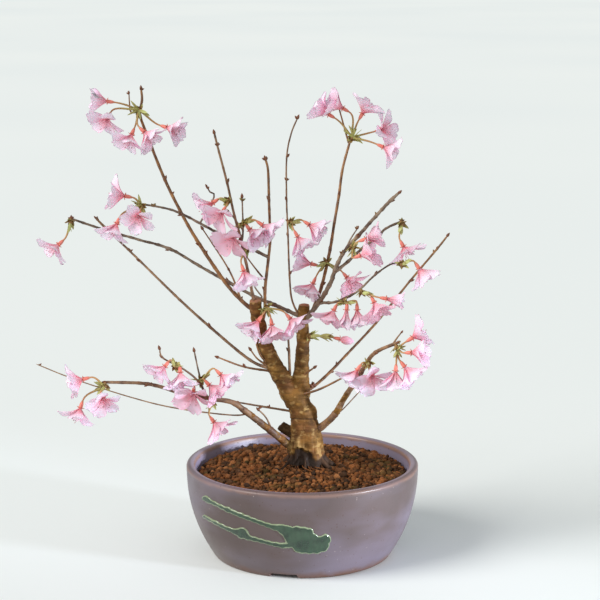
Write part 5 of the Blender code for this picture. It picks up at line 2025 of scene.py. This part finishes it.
@dataclass
class Corolla:
    """Five notched petals round a small hub, with stamens."""

    length: float = 15.6
    half_width: float = 5.5
    thickness: float = 0.28
    curl_deg: float = 42.0
    twist_deg: float = 17.0
    hub_radius: float = 1.3
    petals: int = 5
    widest: float = 0.57
    cup: float = 0.25
    share_deg: float = 34.5
    overlap: float = 1.55
    rows: int = 10
    columns: int = 9
    stamens: int = 11
    bud_opening: float = 15.0
    bud_half_width: float = 3.1

    def half_at(self, bloom: Bloom) -> float:
        """Half width of a petal, narrower where the flower is less open."""
        curl = math.radians(self.curl_deg)
        start = math.radians(bloom.opening) - curl / 2
        widest = start + curl * self.widest
        reach = self.hub_radius * 0.8
        reach += self.length * bloom.reach * (math.cos(start) - math.cos(widest)) / curl
        share = math.tan(math.radians(self.share_deg))
        return min(self.half_width * bloom.reach,
                   self.overlap * reach * share / (1.0 + self.cup * share * math.cos(widest)))

    def petal(self, mouth: Vector, axis: Vector, bloom: Bloom, k: int,
              draw: random.Random) -> np.ndarray:
        """Middle surface of one petal.

        Args:
            mouth: Middle of the calyx's mouth, in mm.
            axis: The way the flower faces.
            bloom: The flower.
            k: Number of the petal.
            draw: Source of random numbers.

        Returns:
            The points, as (rows, columns, 3).
        """
        across = Matrix.Rotation(math.radians(bloom.spin), 3, axis) @ side_vector(axis)
        other = axis.cross(across)
        curl = math.radians(self.curl_deg + draw.uniform(-8.0, 12.0))
        start = math.radians(bloom.opening + draw.uniform(-7.0, 7.0) - self.curl_deg / 2)
        turn = TAU * k / self.petals + draw.uniform(-0.05, 0.05)
        length = self.length * bloom.reach * draw.uniform(0.95, 1.02)
        half = self.half_at(bloom) * draw.uniform(0.94, 1.05)
        u, v = blade_grid(self.rows, self.columns)
        notch = 0.13 * bell(v, 0.2) + 0.2 * np.abs(v) ** 3.2
        outline = np.interp(u, [0.0, 0.1, 0.25, 0.42, 0.6, 0.76, 0.9, 1.0],
                            [0.18, 0.28, 0.54, 0.84, 1.0, 0.98, 0.8, 0.58])
        aside = v * half * outline
        tilt = start + curl * u * (1.0 - notch * u ** 2.5)
        radius = self.hub_radius * 0.8 + length * (np.cos(start) - np.cos(tilt)) / curl
        height = GAP + 0.5 + length * (np.sin(tilt) - np.sin(start)) / curl
        wave = draw.uniform(0.2, 0.55) * np.sin(v * 2.6 + u * 5.0 + draw.uniform(0.0, TAU)) * u
        crease = -0.3 * bell(v, 0.22) * u
        twist = math.tan(math.radians(self.twist_deg))
        cupped = self.cup * np.abs(aside) * np.abs(v) * 1.1
        lift = aside * twist + cupped + wave + crease
        return laid(mouth, (radius - lift * np.cos(tilt), spoke(across, other, turn)),
                    (height + lift * np.sin(tilt), axis), (aside, spoke(other, -across, turn)))

    def add(self, shape: Shape, mouth: Vector, axis: Vector, bloom: Bloom, draw: random.Random,
            blush: float) -> None:
        """Add an open flower's petals, hub and stamens.

        Args:
            shape: The piece that takes them.
            mouth: Middle of the calyx's mouth, in mm.
            axis: The way the flower faces.
            bloom: The flower.
            draw: Source of random numbers.
            blush: How warm its pink is, from 0 to 1.
        """
        u, v = (np.tile(values.ravel(), 2) for values in blade_grid(self.rows, self.columns))
        for k in range(self.petals):
            skin = shell(self.petal(mouth, axis, bloom, k, draw), self.thickness)
            tone = min(1.0, max(0.0, blush + draw.uniform(-0.12, 0.12)))
            shape.add(*skin, along=u, aside=v, blush=tone)
        hub = as_rows([mouth + axis * rise for rise in (GAP * 0.3, 0.5, 1.1, 1.6)])
        shape.add(*sweep(hub, np.array([0.5, 1.25, 1.05, 0.3]), 10))
        self.add_stamens(shape, mouth, axis, bloom, draw)

    def add_stamens(self, shape: Shape, mouth: Vector, axis: Vector, bloom: Bloom,
                    draw: random.Random) -> None:
        """Threads that spread inside the petals, each with an anther, and the longer style.

        Args:
            shape: The piece that takes them.
            mouth: Middle of the calyx's mouth, in mm.
            axis: The way the flower faces.
            bloom: The flower.
            draw: Source of random numbers.
        """
        across = side_vector(axis)
        other = axis.cross(across)
        for k in range(self.stamens + 1):
            style = k == self.stamens
            turn = TAU * k / self.stamens + draw.uniform(-0.2, 0.2)
            lean = math.radians(bloom.opening * (0.08 if style else draw.uniform(0.2, 0.62)))
            out = spoke(across, other, turn)
            long = bloom.reach * (9.5 if style else draw.uniform(5.5, 8.8))
            foot = mouth + axis * 0.9 + out * 0.5
            steps = [foot + spoke(axis, out, lean * t) * long * t for t in (0.0, 0.4, 0.75, 1.0)]
            shape.add(*sweep(as_rows(steps), np.array([0.13, 0.12, 0.11, 0.1]), 4), finish=1)
            tip = (steps[-1] - steps[-2]).normalized()
            anther = as_rows([steps[-1] + tip * (t - 0.2) for t in (0.0, 0.25, 0.6, 0.85)])
            shape.add(*sweep(anther, np.array([0.12, 0.3, 0.27, 0.08]), 5), finish=1, along=1.0)

    def add_bud(self, shape: Shape, mouth: Vector, axis: Vector, bloom: Bloom) -> None:
        """Add the petals of a closed bud, wrapped over each other.

        Args:
            shape: The piece that takes them.
            mouth: Middle of the calyx's mouth, in mm.
            axis: The way the flower faces.
            bloom: The flower.
        """
        length = self.length * bloom.reach * 0.8
        rows, sides = 14, 30
        t = np.linspace(0.0, 1.0, rows)
        wide = np.interp(t, [0.0, 0.08, 0.2, 0.45, 0.75, 0.93, 1.0],
                         [0.35, 0.62, 0.86, 1.0, 0.74, 0.36, 0.05])
        swirl = turns(sides)[None, :] + t[:, None] * 1.3
        fold = 1.0 + 0.1 * (np.mod(swirl * self.petals / TAU, 1.0) - 0.5)
        path = laid(mouth, (GAP + length * t, axis))
        shape.add(*sweep(path, self.bud_half_width * wide[:, None] * fold, sides),
                  along=np.repeat(0.15 + 0.6 * t, sides), blush=0.55)


@dataclass
class Blossom:
    """A spray's place on its shoot, its stalks with their calyxes, and its corollas."""

    spray: Spray
    corolla: Corolla
    coarse_step: float = 26.0
    mouth_ahead: float = 3.6
    knob_radius: float = 1.9
    calyx_radius: float = 1.45
    calyx_length: float = 5.2
    calyx_sides: int = 8
    sepals: int = 5
    sepal_reach: float = 2.6
    stalk_radius: float = 0.56
    stalk_points: int = 12
    scales: tuple[tuple[int, float, float, float], ...] = (
        (5, 2.6, 0.95, 0.05), (5, 3.4, 1.05, 0.2), (2, 4.4, 1.1, 0.7))
    stalk_bracts: tuple[tuple[int, int, float, float], ...] = ((0, 1, 6.6, 0.85), (2, 1, 4.8, 0.75))
    bud_bracts: tuple[tuple[int, int, float, float], ...] = (
        (0, 3, 7.0, 0.78), (5, 3, 6.0, 0.5), (8, 3, 4.6, 0.2))
    deep_flowers: tuple[str, ...] = (
        "06a", "21a", "21b", "05b", "13a", "10a", "10b", "14a", "18b", "22a", "09c")

    def hub(self) -> tuple[Vector, Vector, float]:
        """Place on the shoot, the shoot's direction and its radius."""
        path, radii = shoot_named(self.spray.shoot).curve(self.coarse_step)
        best, found = math.inf, None
        for i, (start, end) in enumerate(zip(path, path[1:])):
            for t in (k / 8 for k in range(9)):
                point = start.lerp(end, t)
                miss = math.dist(PAGE.seen(point), (self.spray.across, self.spray.up))
                if miss < best:
                    radius = radii[i] + (radii[i + 1] - radii[i]) * t
                    best, found = miss, (point, (end - start).normalized(), radius)
        return found

    def mouths(self) -> list[tuple[Vector, Vector]]:
        """Calyx mouths and the flowers' directions."""
        back, places = self.hub()[0].y, []
        for bloom in self.spray.blooms:
            axis = PAGE.aim(bloom.heading, bloom.lean)
            calyx = PAGE.spot(bloom.across, bloom.up, back - bloom.nearer)
            places.append((calyx + axis * self.mouth_ahead, axis))
        return places

    def knob(self) -> tuple[Vector, Vector, Vector]:
        """Centre of the knob that the stalks grow from, its lean, and the shoot's direction."""
        hub, along, radius = self.hub()
        lean = sum(((mouth - hub).normalized() for mouth, _ in self.mouths()), Vector()) - PAGE.into
        lean = (lean - along * lean.dot(along)).normalized()
        return hub + lean * (radius + self.knob_radius + GAP), lean, along

    def stem(self, start: Vector, throat: Vector, axis: Vector) -> np.ndarray:
        """Curved centre line from the knob to the calyx.

        Args:
            start: Where it leaves the knob, in mm.
            throat: Where it meets the calyx, in mm.
            axis: The way the flower faces.

        Returns:
            The points, one a row.
        """
        span = (throat - start).length
        first = start + (throat - start).normalized() * span / 3 + Vector((0.0, 0.0, 0.5))
        second = throat - axis * span / 3
        return as_rows([start * (1 - t) ** 3 + first * 3 * t * (1 - t) ** 2
                        + second * 3 * t * t * (1 - t) + throat * t ** 3
                        for t in np.linspace(0.0, 1.0, self.stalk_points)])

    def add_calyx(self, shape: Shape, start: Vector, mouth: Vector, axis: Vector,
                  bloom: Bloom) -> None:
        """Stalk, urn-shaped calyx and five pointed sepals.

        Args:
            shape: The piece that takes them.
            start: Where the stalk leaves the knob, in mm.
            mouth: Middle of the calyx's mouth, in mm.
            axis: The way the flower faces.
            bloom: The flower.
        """
        throat = mouth - axis * self.calyx_length
        stem = self.stem(start, throat, axis)
        urn = laid(throat, (self.calyx_length * np.array([0.12, 0.3, 0.5, 0.7, 0.88, 1.0]), axis))
        radii = np.concatenate([
            self.stalk_radius * np.linspace(1.5, 1.0, self.stalk_points),
            self.calyx_radius * np.array([0.55, 0.75, 0.88, 0.92, 0.94, 1.05])])
        ripe = np.concatenate([np.linspace(0.0, 0.4, self.stalk_points),
                               [0.55, 0.75, 0.9, 1.0, 1.0, 1.0]])
        shape.add(*sweep(np.concatenate([stem, urn]), radii, self.calyx_sides),
                  ripe=np.repeat(ripe, self.calyx_sides))
        across = Matrix.Rotation(math.radians(bloom.spin + 36.0), 3, axis) @ side_vector(axis)
        other = axis.cross(across)
        u, v = blade_grid(5, 3)
        reach = 1.0 + (self.sepal_reach - 1.0) * u
        width = 0.8 * (1 - u) ** 0.7 + 0.04
        droop = -0.1 - 0.5 * u ** 1.4 + 0.2 * np.abs(v)
        for turn in turns(self.sepals):
            middle = laid(mouth, (reach, spoke(across, other, turn)),
                          (v * width, spoke(other, -across, turn)), (droop, axis))
            shape.add(*shell(middle, 0.3), ripe=np.tile(0.95 - 0.4 * u.ravel(), 2))

    def add_leaflet(self, shape: Shape, base: Vector, lean: Vector, away: Vector, length: float,
                    width: float, ripe: float) -> None:
        """Small cupped scale or bract, pointed, bending outwards.

        Args:
            shape: The piece that takes it.
            base: Its foot, in mm.
            lean: The way it grows.
            away: The way it bends.
            length: Its length.
            width: Its half width.
            ripe: How green it is, from 0 to 1.
        """
        u, v = blade_grid(7, 5)
        wide = width * np.interp(u, [0.0, 0.3, 0.6, 0.85, 1.0], [0.55, 0.95, 1.0, 0.5, 0.06])
        out = 0.25 + 0.9 * u ** 1.5 - 0.35 * v ** 2 * (1 - u)
        middle = laid(base, (u * length, lean), (out * length * 0.32, away),
                      (v * wide, lean.cross(away).normalized()))
        tone = held(ripe + 0.2 * u.ravel() - 0.1)
        shape.add(*shell(middle, 0.24), finish=1, ripe=np.tile(tone, 2))

    def add_knob(self, shape: Shape, draw: random.Random) -> None:
        """Scaly knob seated on the shoot, with brown scales and green bracts round the stalks.

        Args:
            shape: The piece that takes it.
            draw: Source of random numbers.
        """
        centre, lean, along = self.knob()
        low = centre - lean * (self.knob_radius + 0.9)
        body = laid(low, (np.array([0.0, 0.9, 1.9, 3.0, 3.9, 4.6]), lean))
        shape.add(*sweep(body, np.array([0.9, 1.3, 1.6, 1.65, 1.2, 0.4]), 10), finish=1, ripe=0.12)
        other = lean.cross(along)
        for row, (count, length, width, ripe) in enumerate(self.scales):
            for k in range(count):
                turn = TAU * (k + 0.37 * row) / count + draw.uniform(-0.25, 0.25)
                away = spoke(along, other, turn)
                tilt = (lean + away * (0.25 + 0.35 * row)).normalized()
                base = centre + lean * (0.2 * row - 1.4) + away * 0.75
                self.add_leaflet(shape, base, tilt, away, length * draw.uniform(0.85, 1.15), width,
                                 ripe + draw.uniform(-0.08, 0.12))

    def add_bracts(self, shape: Shape, start: Vector, mouth: Vector, axis: Vector, bloom: Bloom,
                   draw: random.Random) -> None:
        """Green bracts that sheathe the foot of a stalk, or all of a short bud's stalk.

        Args:
            shape: The piece that takes them.
            start: Where the stalk leaves the knob, in mm.
            mouth: Middle of the calyx's mouth, in mm.
            axis: The way the flower faces.
            bloom: The flower.
            draw: Source of random numbers.
        """
        stem = self.stem(start, mouth - axis * self.calyx_length, axis)
        bud = bloom.opening < self.corolla.bud_opening
        for at, count, length, ripe in self.bud_bracts if bud else self.stalk_bracts:
            along = Vector(stem[at + 1] - stem[at]).normalized()
            across = side_vector(along)
            for k in range(count):
                turn = TAU * k / count + draw.uniform(0.0, TAU)
                away = spoke(across, along.cross(across), turn)
                self.add_leaflet(shape, Vector(stem[at]) + away * 0.4,
                                 (along + away * 0.18).normalized(), away,
                                 length * draw.uniform(0.8, 1.2), 1.25,
                                 ripe + draw.uniform(-0.1, 0.1))

    def build_stalks(self, finishes: list[Material]) -> Thing:
        """Build and dress the stalks, calyxes, scales and bracts.

        Args:
            finishes: The materials of the stalks and of the scales.

        Returns:
            The stalks.
        """
        name, shape = self.spray.name, Shape("ripe")
        draw = random.Random(int(name) * 17)
        centre, lean, _ = self.knob()
        self.add_knob(shape, draw)
        for bloom, (mouth, axis) in zip(self.spray.blooms, self.mouths()):
            self.add_calyx(shape, centre + lean * 0.8, mouth, axis, bloom)
            self.add_bracts(shape, centre + lean * 0.6, mouth, axis, bloom, draw)
        return shape.piece("flower_stalks_" + name, finishes, Slot.STALK, ["stalks_" + name])

    def build_corollas(self, finishes: list[Material]) -> Thing:
        """Build and dress the spray's corollas.

        Args:
            finishes: The materials of the petals and of the stamens.

        Returns:
            The corollas.
        """
        name, shape = self.spray.name, Shape("along", "aside", "blush")
        draw = random.Random(int(name) * 29 + 3)
        for bloom, (mouth, axis) in zip(self.spray.blooms, self.mouths()):
            if bloom.opening < self.corolla.bud_opening:
                self.corolla.add_bud(shape, mouth, axis, bloom)
                continue
            deep = name + bloom.letter in self.deep_flowers
            blush = 0.6 if deep else draw.uniform(0.0, 0.22)
            self.corolla.add(shape, mouth, axis, bloom, draw, blush)
        nodes = [f"petals_{name}_{group}" for group in self.spray.groups.split()]
        return shape.piece("corollas_" + name, finishes, Slot.PETAL, nodes)


@dataclass(frozen=True)
class FloorFinish:
    """Pale matt floor."""

    pale: Colour = srgb(238, 242, 241)
    cool: Colour = srgb(234, 239, 239)

    def make(self, effects: Effects) -> Material:
        """The finish's material, from the shared effects."""
        surface = Surface("floor_finish", effects, self.pale)
        surface.lay(surface.cloud(0.8, 1.0, 0.3, 0.7), self.cool)
        return surface.finished(Roughness=0.95, Specular_IOR_Level=0.0)


@dataclass
class Studio:
    """Pale floor, soft lights and the camera at the photograph's viewing angle, in metres."""

    floor_half: float = 150.0
    sky: Colour = srgb(240, 244, 244)
    sky_strength: float = 0.56
    sun_strength: float = 2.6
    sun_softness_deg: float = 34.0
    sun_colour: Colour = (1.0, 0.98, 0.95)
    sun_from: Triple = (-0.95, -0.5, 0.9)
    sun_to: Triple = (0.0, 0.0, 0.13)
    window_watts: float = 225.0
    window_deg: float = 12.0
    window_size: float = 0.12
    window_colour: Colour = (0.8, 0.87, 1.0)
    window_from: Triple = (1.3, -0.62, 0.14)
    window_to: Triple = (0.06, -0.05, 0.03)

    def hang(self, name: str, data: bpy.types.ID, at: Triple | Vector, turn: object) -> Thing:
        """Put a light or a camera in the scene.

        Args:
            name: Its name.
            data: The light or camera.
            at: Its place.
            turn: Its rotation.

        Returns:
            The object.
        """
        made = bpy.data.objects.new(name, data)
        made.location, made.rotation_euler = at, turn
        bpy.context.scene.collection.objects.link(made)
        return made

    def hang_light(self, light: bpy.types.Light, at: Triple, target: Triple) -> None:
        """Put a light in the scene, aimed at a place."""
        turn = (Vector(target) - Vector(at)).to_track_quat("-Z", "Y").to_euler()
        self.hang(light.name, light, at, turn)

    def build(self, effects: Effects) -> None:
        """Build the floor, the lights and the camera.

        Args:
            effects: The shared shader groups.
        """
        half = self.floor_half
        mesh = bpy.data.meshes.new("floor")
        corners = [(-half, -half, 0.0), (half, -half, 0.0), (half, half, 0.0), (-half, half, 0.0)]
        mesh.from_pydata(corners, [], [(0, 1, 2, 3)])
        mesh.materials.append(FloorFinish().make(effects))
        floor = self.hang("floor", mesh, (0.0, 0.0, 0.0), (0.0, 0.0, 0.0))
        scene = bpy.context.scene
        scene.world = bpy.data.worlds.new("studio_sky")
        scene.world.use_nodes = True
        sky = scene.world.node_tree.nodes["Background"].inputs
        sky["Color"].default_value = (*self.sky, 1.0)
        sky["Strength"].default_value = self.sky_strength
        sun = bpy.data.lights.new("sun", "SUN")
        sun.energy, sun.color = self.sun_strength, self.sun_colour
        sun.angle = math.radians(self.sun_softness_deg)
        self.hang_light(sun, self.sun_from, self.sun_to)
        window = bpy.data.lights.new("window", "SPOT")
        window.energy, window.color = self.window_watts, self.window_colour
        window.spot_size, window.spot_blend = math.radians(self.window_deg), 1.0
        window.shadow_soft_size = self.window_size
        self.hang_light(window, self.window_from, self.window_to)
        lens = bpy.data.cameras.new("camera")
        lens.lens, lens.sensor_width = PAGE.lens, PAGE.sensor
        turn = (math.radians(90.0 - PAGE.tilt_deg), 0.0, 0.0)
        scene.camera = self.hang("camera", lens, PAGE.eye * MM, turn)
        scene.view_settings.view_transform = "Standard"


def main() -> None:
    """Build the plant, its pot and the studio."""
    logging.basicConfig(level=logging.INFO, format="%(name)s %(message)s")
    effects = Effects()
    pot = StonewarePot()
    pot.build(effects)
    PouredGlaze(pot).build(effects)
    soil = GranularSoil(pot)
    soil.build(effects)
    corolla = Corolla()
    blossoms = [Blossom(spray, corolla) for spray in SPRAYS]
    Trunk(soil).build(effects)
    Shoots().build(effects, [blossom.hub()[0] for blossom in blossoms])
    stalk_finishes = [StalkFinish().make(effects), BractFinish().make(effects)]
    petal_finishes = [PetalFinish().make(effects), AntherFinish().make(effects)]
    for blossom in blossoms:
        blossom.build_stalks(stalk_finishes)
        blossom.build_corollas(petal_finishes)
    Studio().build(effects)


if __name__ == "__main__":
    main()
